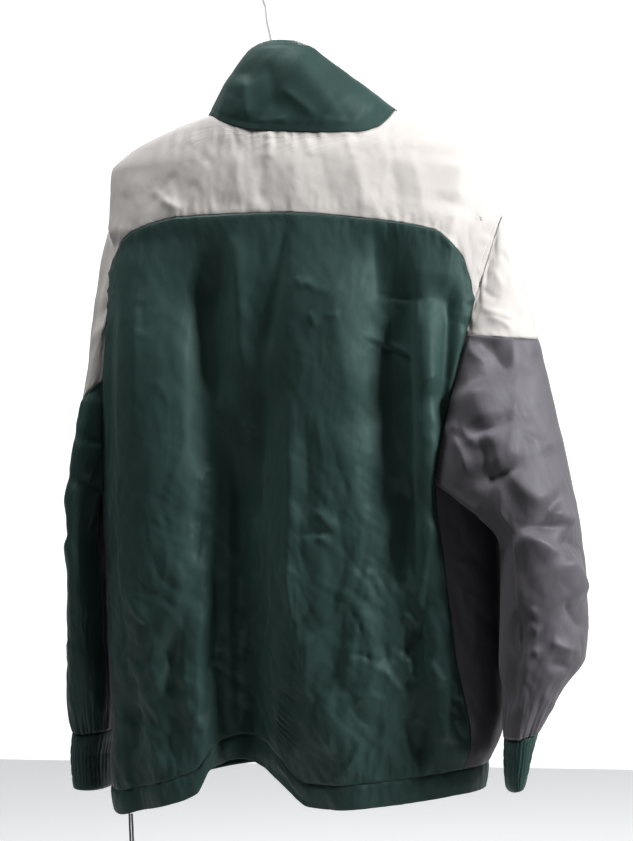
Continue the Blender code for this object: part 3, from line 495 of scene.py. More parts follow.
# creases seen in the photograph: start and end in its pixels, bow, reach to the left and right
# of the line as it runs down, height in mm
backCreases = (
    (457, 198, 443, 300, 1, 26, 7, 3.2), (443, 300, 437, 400, 0, 24, 7, 3.6),
    (437, 395, 434, 500, -1, 20, 8, 3), (286, 214, 262, 372, 3, 9, 7, -3),
    (264, 360, 252, 540, 2, 12, 8, -2.4), (204, 250, 221, 410, -3, 10, 16, -3),
    (233, 236, 246, 392, 2, 9, 9, 1.8), (373, 224, 377, 300, 0, 4, 20, -1.6),
    (373, 294, 428, 300, -1, 3, 4, -1.5), (364, 335, 418, 362, 1, 3, 4, 2.2),
    (367, 339, 414, 364, 1, 3, 3, -1.4), (422, 393, 432, 374, 1, 3, 3, 1.2),
    (304, 281, 332, 297, 1, 4, 5, 1.2), (313, 312, 320, 328, 0, 2.5, 3, 1.2),
    (326, 317, 342, 315, 0, 3, 3, 0.9), (238, 424, 258, 435, 1, 2.5, 3, 1.9),
    (212, 466, 200, 488, -3, 4, 5, 1.5), (158, 378, 173, 408, 1, 4, 4, 1),
    (145, 300, 148, 336, 0, 4, 6, -1.2), (141, 290, 144, 420, 1, 8, 5, 1.2),
    (298, 276, 307, 289, 0, 3, 3, 1), (385, 300, 390, 470, 2, 12, 12, -2.4),
    (405, 470, 412, 600, -2, 14, 14, -3), (428, 330, 432, 520, 1, 7, 6, 1.6),
    (308, 418, 312, 525, 1, 9, 9, -2.2), (330, 250, 352, 420, 0, 16, 18, 2),
    (348, 420, 366, 560, 0, 18, 18, 2.2), (320, 508, 336, 532, 0, 3, 4, 1.7),
    (298, 533, 340, 531, 0, 4, 4, -1.8), (322, 536, 333, 546, 1, 3, 3, 1.8),
    (335, 500, 343, 582, 3, 6, 9, -2), (368, 566, 357, 600, 1, 4, 4, 1.3),
    (402, 613, 420, 624, -2, 3, 4, 2.2), (408, 618, 404, 660, 2, 5, 4, -2),
    (434, 508, 424, 610, -2, 5, 6, 1.9), (430, 560, 424, 615, 0, 4, 5, -2.4),
    (386, 640, 384, 664, 0, 4, 4, -2), (405, 655, 413, 682, 0, 3, 3, 2),
    (347, 652, 374, 658, 1, 3, 3, -1.6), (380, 662, 352, 706, 3, 5, 5, 2.3),
    (383, 664, 408, 698, -2, 4, 5, 2.3), (372, 690, 374, 700, 0, 3, 3, 1.4),
    (374, 698, 386, 699, 0, 3, 3, 1.3), (352, 707, 372, 726, -3, 4, 4, -1.4),
    (366, 762, 392, 722, 2, 6, 7, 1.8), (418, 598, 428, 690, -3, 7, 6, -2.2),
    (432, 656, 448, 686, -4, 6, 6, 2), (430, 670, 428, 700, 2, 5, 5, -2.2),
    (458, 675, 456, 700, 0, 5, 4, 2), (448, 712, 442, 744, 2, 6, 8, 2),
    (394, 700, 420, 768, 3, 9, 12, -2.6), (300, 610, 318, 640, 3, 8, 12, -2),
    (296, 556, 303, 626, -2, 7, 7, 2.4), (312, 610, 306, 690, 3, 9, 9, 2.2),
    (332, 690, 336, 760, -2, 9, 9, 1.8), (342, 596, 336, 700, 3, 9, 10, -2.2),
    (350, 640, 346, 690, 0, 8, 12, 1.6), (245, 616, 252, 655, -1, 3, 5, 2.2),
    (252, 690, 259, 718, 0, 3, 4, 1.6), (247, 500, 246, 610, 1, 5, 7, 1.8),
    (226, 470, 228, 760, 0, 5, 4, 3.6), (200, 508, 194, 566, 2, 5, 6, -1.8),
    (202, 560, 204, 640, 2, 5, 5, 1.6), (218, 620, 210, 680, 2, 4, 5, -1.9),
    (163, 640, 172, 700, 3, 8, 9, -2.6), (176, 640, 184, 690, -3, 6, 6, 1.9),
    (140, 590, 152, 622, -2, 5, 5, 1.8), (134, 640, 142, 706, 3, 7, 6, 2),
    (142, 668, 134, 730, 1, 5, 4, -1.8), (150, 660, 160, 700, 2, 8, 7, 1.5),
    (170, 700, 164, 770, 2, 7, 6, -2.2), (186, 660, 192, 726, -3, 7, 7, 1.7),
    (192, 718, 204, 736, 2, 5, 5, 1.5), (208, 640, 206, 730, 1, 5, 5, -1.8),
    (138, 700, 134, 760, 1, 6, 7, -2), (148, 720, 158, 776, 2, 7, 6, 1.8),
    (122, 520, 118, 640, 0, 7, 7, -1.4), (112, 300, 110, 520, 0, 8, 8, -1.6),
    (180, 300, 184, 520, 3, 22, 20, 2.6), (182, 520, 178, 650, 0, 18, 16, 2),
)
sleeveCreases = (
    (478, 380, 492, 430, -3, 20, 30, 4.5), (490, 426, 507, 472, -2, 18, 30, 5),
    (505, 468, 548, 512, -2, 11, 26, 5), (546, 510, 573, 527, 0, 10, 16, 4),
    (518, 529, 562, 556, 1, 22, 7, 5), (556, 552, 586, 600, 3, 24, 8, 5),
    (513, 332, 515, 392, 0, 4, 3, 1.8), (515, 388, 508, 462, 0, 3, 4, 1.6),
    (475, 338, 512, 378, 4, 9, 12, -3.6), (468, 344, 484, 362, -2, 4, 5, 2.2),
    (446, 432, 462, 428, 1, 6, 5, 2), (462, 426, 481, 444, -3, 4, 4, 3),
    (450, 434, 468, 474, 4, 4, 6, 3.2), (486, 440, 490, 490, 2, 7, 7, -3),
    (518, 528, 570, 524, -1, 5, 4, -3.2), (546, 546, 566, 537, -4, 4, 4, -2.6),
    (566, 537, 585, 553, -2, 4, 4, -2.4), (518, 436, 552, 446, -1, 4, 4, 1.4),
    (516, 414, 522, 426, 0, 3, 3, 1.3), (528, 624, 540, 632, -1, 4, 4, 2),
    (532, 648, 540, 656, 0, 4, 4, 2), (530, 616, 536, 608, 0, 4, 4, 1.6),
    (548, 640, 580, 652, -2, 5, 6, 2.4), (560, 600, 584, 634, 2, 6, 6, -3),
    (546, 664, 574, 672, 2, 5, 6, -2.4), (540, 690, 556, 716, 2, 7, 6, 1.8),
    (519, 600, 512, 720, 1, 12, 11, -3), (528, 640, 518, 760, -2, 9, 9, 2),
    (502, 480, 499, 560, 1, 6, 10, 2.6), (488, 360, 500, 372, 0, 5, 5, -2),
    (532, 352, 548, 372, 1, 5, 6, -2), (472, 500, 482, 600, 3, 10, 9, 2.4),
    (498, 560, 508, 700, 2, 9, 12, 2.6),
)
capCreases = (
    (478, 306, 516, 318, -2, 4, 4, 2.4), (486, 316, 514, 330, 1, 4, 3, 2),
    (480, 286, 500, 300, -2, 4, 4, -1.6), (492, 268, 502, 290, 1, 4, 4, 1.4),
    (500, 250, 512, 276, 2, 5, 4, -1.3), (516, 300, 534, 332, 2, 4, 4, 1.5),
    (508, 228, 524, 262, 2, 6, 5, 1.2),
)
yokeCreases = (
    (463, 158, 457, 205, -1, 24, 7, 3.2), (457, 204, 448, 262, 0, 22, 8, 3),
    (150, 190, 178, 214, 2, 5, 6, 1.8), (178, 172, 150, 210, -2, 6, 5, -1.6),
    (160, 200, 186, 212, 1, 4, 4, 1.6), (208, 160, 190, 186, 0, 6, 6, 1.2),
    (240, 150, 236, 205, 0, 9, 9, 1.6), (262, 156, 260, 208, 0, 8, 8, -1.6),
    (292, 150, 298, 210, 1, 9, 9, 1.6), (320, 152, 330, 214, 1, 9, 9, -1.4),
    (352, 150, 366, 216, 2, 9, 9, 1.6), (388, 160, 398, 222, 2, 9, 9, -1.6),
    (408, 150, 424, 224, 3, 9, 8, 1.6), (270, 140, 268, 160, 0, 4, 4, 1),
    (308, 138, 312, 158, 0, 4, 4, 1), (346, 138, 354, 160, 0, 4, 4, 1.1),
    (126, 190, 122, 232, 0, 5, 7, -1.3), (138, 170, 132, 226, 0, 7, 7, 1.4),
)
collarCreases = (
    (284, 46, 354, 124, -4, 30, 24, 7),
    (248, 76, 249, 122, 0, 16, 4, 4), (280, 88, 320, 122, 1, 4, 6, 3),
    (268, 62, 276, 118, 2, 10, 10, -2.6),
    (326, 92, 352, 124, 1, 7, 7, -1.4), (262, 118, 268, 128, 0, 4, 4, 1.6),
    (283, 116, 287, 128, 0, 4, 4, 1.6), (324, 117, 328, 128, 0, 4, 4, 1.6),
    (340, 118, 344, 128, 0, 4, 4, 1.5), (236, 96, 226, 122, 0, 5, 5, 1.4),
    (300, 60, 340, 96, 2, 6, 8, -1.5), (368, 108, 384, 118, 1, 3, 4, -1.4),
)


def creased(points, table):
    px, py = photoSpot(points)
    total = np.zeros(px.shape)
    for x0, y0, x1, y1, bow, toLeft, toRight, high in table:
        dx, dy = x1 - x0, y1 - y0
        long = math.hypot(dx, dy)
        t = ((px - x0) * dx + (py - y0) * dy) / long ** 2
        off = ((px - x0) * dy - (py - y0) * dx) / long - bow * 4 * t * (1 - t)
        near = np.where(off < 0, np.abs(off) / toLeft, np.abs(off) / toRight)
        ends = ease(np.minimum(t, 1 - t) * 3.2 + 0.12)
        broad = mix(0.6, 1.0, min((toLeft + toRight) / 26, 1.0))
        total += high * broad * np.exp(-np.sqrt(near * near + 0.06) + 0.24) * ends * (near < 7)
    return total


# broad soft folds of the back, in the same way
drapes = (
    (130, 262, 130, 700, 0, 14, 44, 14), (207, 240, 214, 500, -2, 34, 24, -11),
    (232, 420, 238, 790, 0, 13, 30, -20), (236, 236, 244, 380, 0, 10, 12, 5),
    (300, 236, 296, 560, 2, 30, 50, 12), (290, 500, 298, 790, 0, 24, 50, 14),
    (294, 400, 298, 640, 0, 7, 8, 4), (400, 240, 404, 600, 3, 34, 13, -13),
    (421, 292, 424, 600, 0, 9, 15, 9), (447, 286, 440, 430, 0, 8, 7, -7),
    (464, 280, 452, 440, 0, 8, 12, 5), (262, 380, 266, 470, 0, 14, 14, -4),
    (334, 540, 330, 700, 2, 12, 12, -5), (362, 600, 370, 720, 2, 14, 16, 5),
    (412, 600, 418, 770, 3, 16, 14, -5), (440, 600, 446, 740, -2, 12, 12, 5),
    (166, 620, 176, 780, 3, 12, 14, -5), (196, 600, 202, 760, 0, 12, 12, 4),
    (350, 720, 356, 780, 0, 12, 12, 4),
)


def draped(points):
    px, py = photoSpot(points)
    total = np.zeros(px.shape)
    for x0, y0, x1, y1, bow, toLeft, toRight, high in drapes:
        t = (py - y0) / (y1 - y0)
        off = px - mix(x0, x1, np.clip(t, 0, 1)) - bow * 4 * t * (1 - t)
        total += high * np.exp(-(off / np.where(off < 0, toLeft, toRight)) ** 2) * ease(
            np.minimum(t, 1 - t) * 3.0 + 0.25)
    return total


def settled(relief, times):
    for _ in range(times):
        wide = np.pad(relief, 1, mode="edge")
        relief = (4 * relief + wide[:-2, 1:-1] + wide[2:, 1:-1] + wide[1:-1, :-2] + wide[1:-1, 2:]) / 8
    return relief


def mirroredSpot(points):
    # the far side takes the creases of the side in the photograph, turned about
    return points * np.array((1.0, -1.0, 1.0))


# cloth
def seamDip(points, sides, wide=2.2, deep=0.5):
    # each sewn edge turns in a little, so that the seam reads as a line
    runs = dict(zip("tblr", (*edgeRun(points, 0), *edgeRun(points, 1))))
    return -deep * np.max([np.exp(-(runs[side] / wide) ** 2) for side in sides], axis=0)


def quads(grid):
    # the four corners of each face of a grid
    return np.stack([grid[:-1, :-1], grid[1:, :-1], grid[1:, 1:], grid[:-1, 1:]], 2)


def clothMesh(name, points, closed=False):
    rows, cols = points.shape[:2]
    mesh = bpy.data.meshes.new(name)
    index = np.arange(rows * cols).reshape(rows, cols)
    if closed:
        index = np.concatenate([index, index[:, :1]], axis=1)
    mesh.from_pydata((points.reshape(-1, 3) * mm).tolist(), [], quads(index).reshape(-1, 4).tolist())
    if closed:
        points = np.concatenate([points, points[:, :1]], axis=1)
    spots = np.stack([edgeRun(points, 1)[0], -edgeRun(points, 0)[0]], -1) * mm
    mesh.uv_layers.new(name="cloth").data.foreach_set("uv", quads(spots).reshape(-1).astype(np.float32))
    return mesh


def jacketPiece(name, data, material):
    piece = bpy.data.objects.new(name, data)
    scene.collection.objects.link(piece)
    data.materials.append(material)
    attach(piece, "jacket")
    return piece


def nodeNamed(piece):
    return "".join("_" + letter.lower() if letter.isupper() else letter for letter in piece)


madeCloth = {}


def clothPiece(name, look, points, outward, closed=False):
    mesh = clothMesh(name, points, closed)
    centre = mesh.polygons[len(mesh.polygons) // 2]
    if np.dot(np.array(centre.normal), outward.reshape(-1, 3)[centre.vertices[0]]) < 0:
        mesh.flip_normals()
    mesh.shade_smooth()
    material, thread, slot = cloths[look["cloth"]]
    piece = jacketPiece(name, mesh, material)
    bpy.context.view_layer.objects.active = piece
    piece.select_set(True)
    wall = piece.modifiers.new("wall", "SOLIDIFY")
    wall.thickness = look.get("thick", sizes["shell"]) * mm
    wall.offset = -1
    bpy.ops.object.modifier_apply(modifier=wall.name)
    piece.select_set(False)
    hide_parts(look.get("node", nodeNamed(name)))
    madeCloth[name] = (points, outward, thread, slot)


# finishes
def shade(tree, kind, output, settings, feeds):
    # one output of a new shader node; feeds are the outputs that its inputs read
    node = tree.nodes.new("ShaderNode" + kind)
    for key, value in settings.items():
        if isinstance(key, int) or key in node.inputs:
            node.inputs[key].default_value = value
        else:
            setattr(node, key, value)
    for key, source in feeds.items():
        tree.links.new(source, node.inputs[key])
    return node.outputs[output]


def bumped(tree, height, strength, distance, before=None):
    feeds = {"Height": height, "Normal": before} if before else {"Height": height}
    return shade(tree, "Bump", "Normal", {"Strength": strength, "Distance": distance}, feeds)


def toned(tree, source, dark, light):
    # colours from one tone to another; each tone has its place and its colour
    tones = shade(tree, "ValToRGB", "Color", {}, {"Fac": source})
    for element, (place, colour) in zip(tones.node.color_ramp.elements, (dark, light)):
        element.position = place
        element.color = (*(min(1, c) for c in colour), 1)
    return tones


def dress(tree, shader, **sources):
    for key, source in sources.items():
        tree.links.new(source, shader.inputs[key.replace("_", " ")])


nylon = {"gloss": 0.24, "sheen": 0.03, "sheenRough": 0.35, "grain": 0.35, "threads": 900.0, "crush": 46.0,
         "crushDeep": 0.0012, "softDeep": 0.0016, "weaveHigh": 0.16, "weaveDeep": 0.00012, "weaveShade": 0.14}


def nylonMaterial(name, colour, sheenTint, dark, light, roughness, crushHigh, softHigh):
    tint = (*sheenTint, 1)
    material, tree, shader = newMaterial(name, colour, roughness, {
        "Specular IOR Level": nylon["gloss"], "Specular Tint": tint, "Sheen Weight": nylon["sheen"],
        "Sheen Roughness": nylon["sheenRough"], "Sheen Tint": tint, "Anisotropic": nylon["grain"]})
    cloth = shade(tree, "TexCoord", "UV", {}, {})
    long = shade(tree, "Mapping", "Vector", {"Scale": (1.0, 0.32, 1.0)}, {"Vector": cloth})
    # cloudy fading and rubbed bands along the drop of the cloth
    cloud = shade(tree, "TexNoise", "Fac", {"Scale": 14.0, "Detail": 5.0, "Roughness": 0.62}, {"Vector": long})
    fade = toned(tree, cloud, (0.32, [c * dark for c in colour]), (0.7, [c * light for c in colour]))
    # warp and weft threads, drawn slightly apart in colour
    uneven = {"Distortion": 0.35, "Detail": 2.0, "Detail Scale": 0.4}
    warp, weft = (
        shade(tree, "TexWave", "Fac", {"bands_direction": way, "Scale": scale, **uneven}, {"Vector": cloth})
        for way, scale in (("X", nylon["threads"]), ("Y", nylon["threads"] * 0.86)))
    weave = shade(tree, "Math", "Value", {"operation": "MULTIPLY"}, {0: warp, 1: weft})
    grain = shade(tree, "MixRGB", "Color", {"blend_type": "MULTIPLY", "Fac": nylon["weaveShade"]},
                  {"Color1": fade, "Color2": weave})
    # small crushed creases, then the weave, as relief
    bent = shade(tree, "TexNoise", "Color", {"Scale": 30.0, "Detail": 3.0}, {"Vector": cloth})
    moved = shade(tree, "VectorMath", "Vector", {"operation": "MULTIPLY_ADD", 1: (0.02, 0.02, 0.0)},
                  {0: bent, 2: long})
    crush = shade(tree, "TexVoronoi", "Distance", {"feature": "DISTANCE_TO_EDGE", "Scale": nylon["crush"]},
                  {"Vector": moved})
    soft = shade(tree, "TexNoise", "Fac", {"Scale": 85.0, "Detail": 5.0, "Roughness": 0.55}, {"Vector": long})
    relief = bumped(tree, crush, crushHigh, nylon["crushDeep"])
    relief = bumped(tree, soft, softHigh, nylon["softDeep"], relief)
    relief = bumped(tree, weave, nylon["weaveHigh"], nylon["weaveDeep"], relief)
    # rubbed patches shine less evenly
    rubbed = shade(tree, "MapRange", "Result", {"From Min": 0.3, "From Max": 0.75, "To Min": roughness - 0.06,
                                                "To Max": roughness + 0.09}, {"Value": soft})
    dress(tree, shader, Base_Color=grain, Normal=relief, Roughness=rubbed)
    return material


def plainMaterial(name, colour, roughness, grainSize, grainHigh, spread=0.06, metallic=0.0):
    material, tree, shader = newMaterial(name, colour, roughness, {"Metallic": metallic})
    place = shade(tree, "TexCoord", "Object", {}, {})
    grain = shade(tree, "TexNoise", "Fac", {"Scale": grainSize, "Detail": 4.0}, {"Vector": place})
    tones = toned(tree, grain, (0, [c * (1 - spread) for c in colour]), (1, [c * (1 + spread) for c in colour]))
    dress(tree, shader, Base_Color=tones, Normal=bumped(tree, grain, grainHigh, 0.0004))
    return material


whitePlastic = plainMaterial("whitePlastic", (0.82, 0.82, 0.81), 0.34, 160.0, 0.08, spread=0.03)
zipTape = plainMaterial("zipTape", (0.012, 0.016, 0.015), 0.72, 1400.0, 0.5, spread=0.25)
zipNylon = plainMaterial("zipNylon", (0.016, 0.018, 0.018), 0.38, 500.0, 0.15, spread=0.15)
zipSteel = plainMaterial("zipSteel", (0.42, 0.42, 0.43), 0.3, 300.0, 0.1, spread=0.12, metallic=1.0)
cloths = {  # material, thread and slot
    "green": (nylonMaterial("greenNylon", (0.0128, 0.0290, 0.0262), (0.6, 0.85, 0.8), dark=0.86, light=1.16,
                            roughness=0.58, crushHigh=0.14, softHigh=0.3),
              plainMaterial("darkThread", (0.014, 0.020, 0.018), 0.55, 900.0, 0.3), "green_cloth"),
    "white": (nylonMaterial("whiteNylon", (0.365, 0.348, 0.333), (1, 0.98, 0.95), dark=0.94, light=1.05,
                            roughness=0.6, crushHigh=0.12, softHigh=0.25),
              plainMaterial("paleThread", (0.66, 0.63, 0.60), 0.55, 900.0, 0.3), "white_cloth"),
    "grey": (nylonMaterial("greyNylon", (0.064, 0.061, 0.068), (0.9, 0.88, 1.0), dark=0.9, light=1.12,
                           roughness=0.58, crushHigh=0.12, softHigh=0.24),
             plainMaterial("greyThread", (0.10, 0.098, 0.105), 0.55, 900.0, 0.3), "grey_cloth"),
    "tape": (zipTape, zipNylon, "zip_tape"),
}
print("finishes are mixed")


# body pieces
tautness = {  # how strongly the cloth crinkles, down from the neck
    "z": (-160, -280, -420, -560, -640, -760, -900, -1000),
    "high": (0.35, 0.45, 0.55, 0.85, 1.3, 1.7, 1.6, 1.1),
}
tautCurve = tableCurve(tautness["z"], tautness["high"])


def clothFolds(angle, z, points, normal):
    # the long folds and the creases, which run on into the casing
    yoke = seamHeight("yoke", angle, z)
    turned = mirroredSpot(points)
    below = ease((yoke + 4 - z) / 10)
    seen = (2.3 * creased(points, backCreases) + draped(points)) * below + 1.6 * creased(
        points, yokeCreases) * ease((z - yoke + 8) / 10)
    hidden = (1.3 * creased(turned, backCreases) + 0.7 * draped(turned)) * below
    toBack = normal[..., 1] * 1.4
    return np.where(isBack(angle), seen * ease(toBack + 0.25), hidden * ease(0.25 - toBack))


def bodyRelief(angle, z, points, normal):
    # height of the cloth over its plain form
    x, y = points[..., 0], points[..., 1]
    around = np.where(isBack(angle), x, -x + 1300)
    relief = 1.35 * tautCurve(z) * crumpled(around, z, 3)
    neck, yoke, top = seamHeight("neck", angle, z), seamHeight("yoke", angle, z), casingTop(angle, z)
    relief += gathered("yoke", around, z - yoke) * np.where(z > yoke, 1.0, 0.8)
    relief += gathered("neck", around, z - neck) * ease((neck - z) / 9 + 0.1)
    relief += gathered("casing", around, z - top)
    fromSide = np.minimum(*edgeRun(points, 1))
    relief += gathered("side", z, fromSide) * ease((z + 440) / 30) * ease((-150 - z) / 60)
    # nothing presses through the shoulders that lie on the hanger, or the free sides
    quiet = ease(np.abs(y) / 28) * 0.85 + 0.15
    relief = relief * quiet * ease((z - top) / 7 + 0.15)     # low at the casing's edge, where the two meet
    return relief + clothFolds(angle, z, points, normal)


bodyLooks = {
    "backYoke": {"cloth": "white", "flat": (0.62, 0.24), "area": 0.072, "restsOn": ["hanger"],
                 "region": "back", "lines": ("neck back", "yoke back"), "count": (230, 70)},
    "frontYokeLeft": {"cloth": "white", "flat": (0.30, 0.22), "area": 0.036, "restsOn": ["hanger"],
                      "region": "front left", "lines": ("neck front", "yoke front"), "count": (100, 80)},
    "frontYokeRight": {"cloth": "white", "flat": (0.28, 0.22), "area": 0.033, "restsOn": ["hanger"],
                       "region": "front right", "lines": ("neck front", "yoke front"), "count": (100, 80)},
    "backPanel": {"cloth": "green", "flat": (0.56, 0.65), "area": 0.31, "restsOn": ["backYoke"],
                  "region": "back", "lines": ("yoke back", "underarm", "casing"), "count": (215, 220)},
    "frontPanelLeft": {"cloth": "green", "flat": (0.28, 0.62), "area": 0.145, "restsOn": ["frontYokeLeft"],
                       "region": "front left", "lines": ("yoke front", "underarm", "casing"),
                       "count": (80, 160)},
    "frontPanelRight": {"cloth": "green", "flat": (0.26, 0.60), "area": 0.13, "restsOn": ["frontYokeRight"],
                        "region": "front right", "lines": ("yoke front", "underarm", "casing"),
                        "count": (80, 160)},
    "sidePanelLeft": {"cloth": "grey", "flat": (0.13, 0.35), "restsOn": ["backPanel"],
                      "region": "side left", "lines": ("underarm", "casing"), "count": (44, 90)},
    "sidePanelRight": {"cloth": "grey", "flat": (0.16, 0.33), "restsOn": ["backPanel"],
                       "region": "side right", "lines": ("underarm", "casing"), "count": (54, 90)},
}
evenAt = {"white": -260, "green": -640, "grey": -760}    # height at which columns are evenly apart
seamLines |= {"underarm": underarm, "casing": casingTop, "hem": hemHeight}
upperShare = 0.47    # rows above the underarm, of a panel that runs on below it
clothOut = 0.72      # the cloth's outer face over its solid's form


def bodyCloth(look):
    edges = regions[look["region"]]
    lines = [seamLines[name] for name in look["lines"]]
    cols, rows = look["count"]
    spans = np.linspace(0, len(lines) - 1, rows)
    if len(lines) == 3:
        upper = int(rows * upperShare)
        spans = np.unique(np.concatenate([np.linspace(0, 1, upper), np.linspace(1, 2, rows - upper + 1)]))
    angle, z = bodyPlaces(edges, lines, evenColumns(edges, evenAt[look["cloth"]], cols), spans)
    points, normal = bodyPoint(angle, z), bodyNormal(angle, z)
    relief = bodyRelief(angle, z, points, normal)
    inside = np.minimum(*edgeRun(points, 1))
    if look["region"].startswith("side"):
        relief = np.clip(relief * 0.7, -1.6, 1.2) * ease(inside / 12 + 0.25)
        relief = np.where(z > -680, np.minimum(relief, 0.2), relief)
    else:   # quiet along the armhole, where the sleeve pulls it flat
        relief = relief * np.where(z > underarmHeight - 10, ease(inside / 7 + 0.15), ease(inside / 8 + 0.3))
    if look["cloth"] == "white":
        relief = settled(relief, 2)
    relief = relief + seamDip(points, "tblr") + clothOut
    return points + normal * relief[..., None], normal


for name, look in bodyLooks.items():
    clothPiece(name, look, *bodyCloth(look))
print("body pieces are cut and sewn")


# hem casing
casingLook = {"cloth": "green", "flat": (1.12, 0.028), "restsOn": ["backPanel"], "thick": 1.5, "rows": 16,
              "columns": {"front left": 80, "side left": 44, "back": 215, "side right": 54, "front right": 80},
              "tucked": 2.5, "tuckedIn": 1.7, "puckers": ((1.3, 10.0, 1.2, 31), (0.7, 5.2, 2.0, 37))}


def casingCloth():
    places = []
    for region, count in casingLook["columns"].items():
        edges = regions[region]
        columns = evenColumns(edges, -940, count)[(1 if places else 0):]
        places.append(bodyPlaces(edges, [casingTop, hemHeight], columns, np.linspace(0, 1, casingLook["rows"])))
    angle, z = (np.concatenate(part, axis=1) for part in zip(*places))
    z[0] += casingLook["tucked"]                             # its top is tucked behind the panels
    points, normal = bodyPoint(angle, z), bodyNormal(angle, z)
    run = edgeRun(points, 1)[0]
    down = edgeRun(points, 0)[0] / sizes["casingDeep"]
    swell = 1.5 * np.sin(np.pi * np.clip((down - 0.1) / 0.9, 0, 1)) ** 0.7      # the turned band is full
    pucker = sum(high * softNoise(run / long, down * tall, seed)
                 for high, long, tall, seed in casingLook["puckers"])
    pinch = -0.8 * np.exp(-((down - 0.13) / 0.05) ** 2)                          # line of the casing's stitches
    relief = 0.55 + swell + pucker * (0.4 + 0.8 * np.exp(-down * 2.2)) * ease(down * 4) + pinch
    relief[0] -= casingLook["tuckedIn"]
    relief += clothFolds(angle, z, points, normal)
    return points + normal * relief[..., None], normal


clothPiece("hemCasing", casingLook, *casingCloth())
print("hem casing is turned")

# sleeves
sleeves = {side: tableCurves(table, "z") for side, table in sleeveSections.items()}
cuffs = {side: tableCurves(table, "z") for side, table in cuffSections.items()}
starts = {side: tableCurves(table, "turn") for side, table in sleeveStart.items()}


def armhole(side, turn):
    turn = np.mod(turn, 1.0)
    low, top = underarmHeight, shoulderHeight[side]
    back, front = sizes["cornerBack"], sizes["cornerFront"]
    below = (turn >= back) & (turn <= front)
    down = np.where(turn < back, turn / back, (1 - turn) / (1 - front))
    z = np.where(below, low, mix(top, low, down))
    t = np.clip((turn - back) / (front - back), 0, 1)
    angleBack, angleFront = sideAngle(f"{side} back", z), sideAngle(f"{side} front", z)
    angle = np.where(below, mix(angleBack, angleFront, t), np.where(turn < back, angleBack, angleFront))
    beside = np.where(below, 0.5 * np.abs(2 * t - 1) ** 9, 1 - np.maximum(0, 1 - (z - low) / 12) * 0.5)
    above = np.where(below, 0.0, np.maximum(0, 1 - (top - z) / 16))
    point, normal = bodyPoint(angle, z), bodyNormal(angle, z)
    into = np.where((turn > 0.5) == (side == "left"), 1.0, -1.0)
    along = unit(bodyPoint(angle + into, z) - point)
    up = unit(bodyPoint(angle, z + 2) - point)
    beside, above = beside[..., None], above[..., None]
    away = mix(along * beside + up * (1 - beside), -up, above)
    lift = sizes["underarmOut"] * (1 - beside) ** 0.5 + sizes["shoulderOut"] * above
    return point + unit(away) * sizes["edgeLift"] + normal * lift, normal


def tubePoint(shape, side, turn, zMid):
    x, y, wide, deep, rise, twist = (
        shape[name](zMid) for name in ("x", "y", "wide", "deep", "rise", "twist"))
    outward = 1 if side == "left" else -1
    c, s = np.cos(2 * np.pi * turn), np.sin(2 * np.pi * turn)
    across, back = outward * wide * signedPower(c, 0.9), deep * signedPower(s, 0.9)
    turnedC, turnedS = np.cos(np.radians(twist)), np.sin(np.radians(twist))
    return np.stack(np.broadcast_arrays(x + across * turnedC - back * turnedS,
                                        y + across * turnedS + back * turnedC, zMid + rise * c), -1)


def sleevePoint(side, turn, t):
    # t is 0 at the armhole, 1 at the first full section and 2 at the cuff seam
    heights = sleeveSections[side]["z"]
    start, normal = armhole(side, turn)
    out, fall, join = (starts[side][name](np.mod(turn, 1.0))[..., None] for name in ("out", "fall", "join"))
    end = tubePoint(sleeves[side], side, turn, np.full(np.shape(turn), float(heights[0])))
    below = tubePoint(sleeves[side], side, turn, np.full(np.shape(turn), heights[0] - 30.0))
    first = start + normal * np.array((1, 1, 0)) * out + np.array((0, 0, -1.0)) * fall
    second = end + unit(end - below) * join
    u = np.clip(t, 0, 1)[..., None]
    upper = (1 - u) ** 3 * start + 3 * u * (1 - u) ** 2 * first + 3 * u * u * (1 - u) * second + u ** 3 * end
    lower = tubePoint(sleeves[side], side, turn,
                      mix(float(heights[0]), float(heights[-1]), np.clip(t - 1, 0, 1)))
    return np.where((t > 1)[..., None], lower, upper)


def capHeight(side, turn):
    outer, quarter = capSeams[side]
    return mix(outer, quarter, 1 - np.cos(2 * np.pi * turn))


def capSeam(side, turn):
    low, high = np.zeros(np.shape(turn)), np.ones(np.shape(turn))
    for _ in range(26):
        t = (low + high) / 2
        above = sleevePoint(side, turn, t)[..., 2] > capHeight(side, turn)
        low, high = np.where(above, t, low), np.where(above, high, t)
    return low


def armholeTurn(side, which, above):
    # turn at which the armhole comes down to a height above the cap's seam
    reach = sizes["cornerBack"] if which == "back" else sizes["cornerFront"] - 1
    down = np.linspace(0, 1, 3000)
    clear = mix(shoulderHeight[side], underarmHeight, down) > capHeight(side, reach * down) + above
    return float(reach * down[clear][-1]) % 1.0


sleeveLooks = {
    ("left", "cap"): {"cloth": "white", "flat": (0.17, 0.21), "area": 0.0212, "restsOn": ["backYoke"]},
    ("right", "cap"): {"cloth": "white", "flat": (0.16, 0.16), "area": 0.0140, "restsOn": ["backYoke"]},
    ("left", "back"): {"cloth": "green", "flat": (0.20, 0.45), "area": 0.067, "restsOn": ["sleeveCapLeft"]},
    ("left", "front"): {"cloth": "grey", "flat": (0.19, 0.45), "area": 0.06, "restsOn": ["sleeveCapLeft"]},
    ("right", "back"): {"cloth": "grey", "flat": (0.26, 0.46), "area": 0.097, "restsOn": ["sleeveCapRight"]},
    ("right", "front"): {"cloth": "green", "flat": (0.17, 0.45), "area": 0.053, "restsOn": ["sleeveCapRight"]},
}


sleeveGrid = {"columns": {"cap": (90,), "back": (60, 70), "front": (42, 36)}, "capRows": 56, "rows": 150}
sleeveTaut = {"down": (300, 480, 600, 760, 880), "high": (0.35, 0.7, 0.95, 1.15, 1.2)}


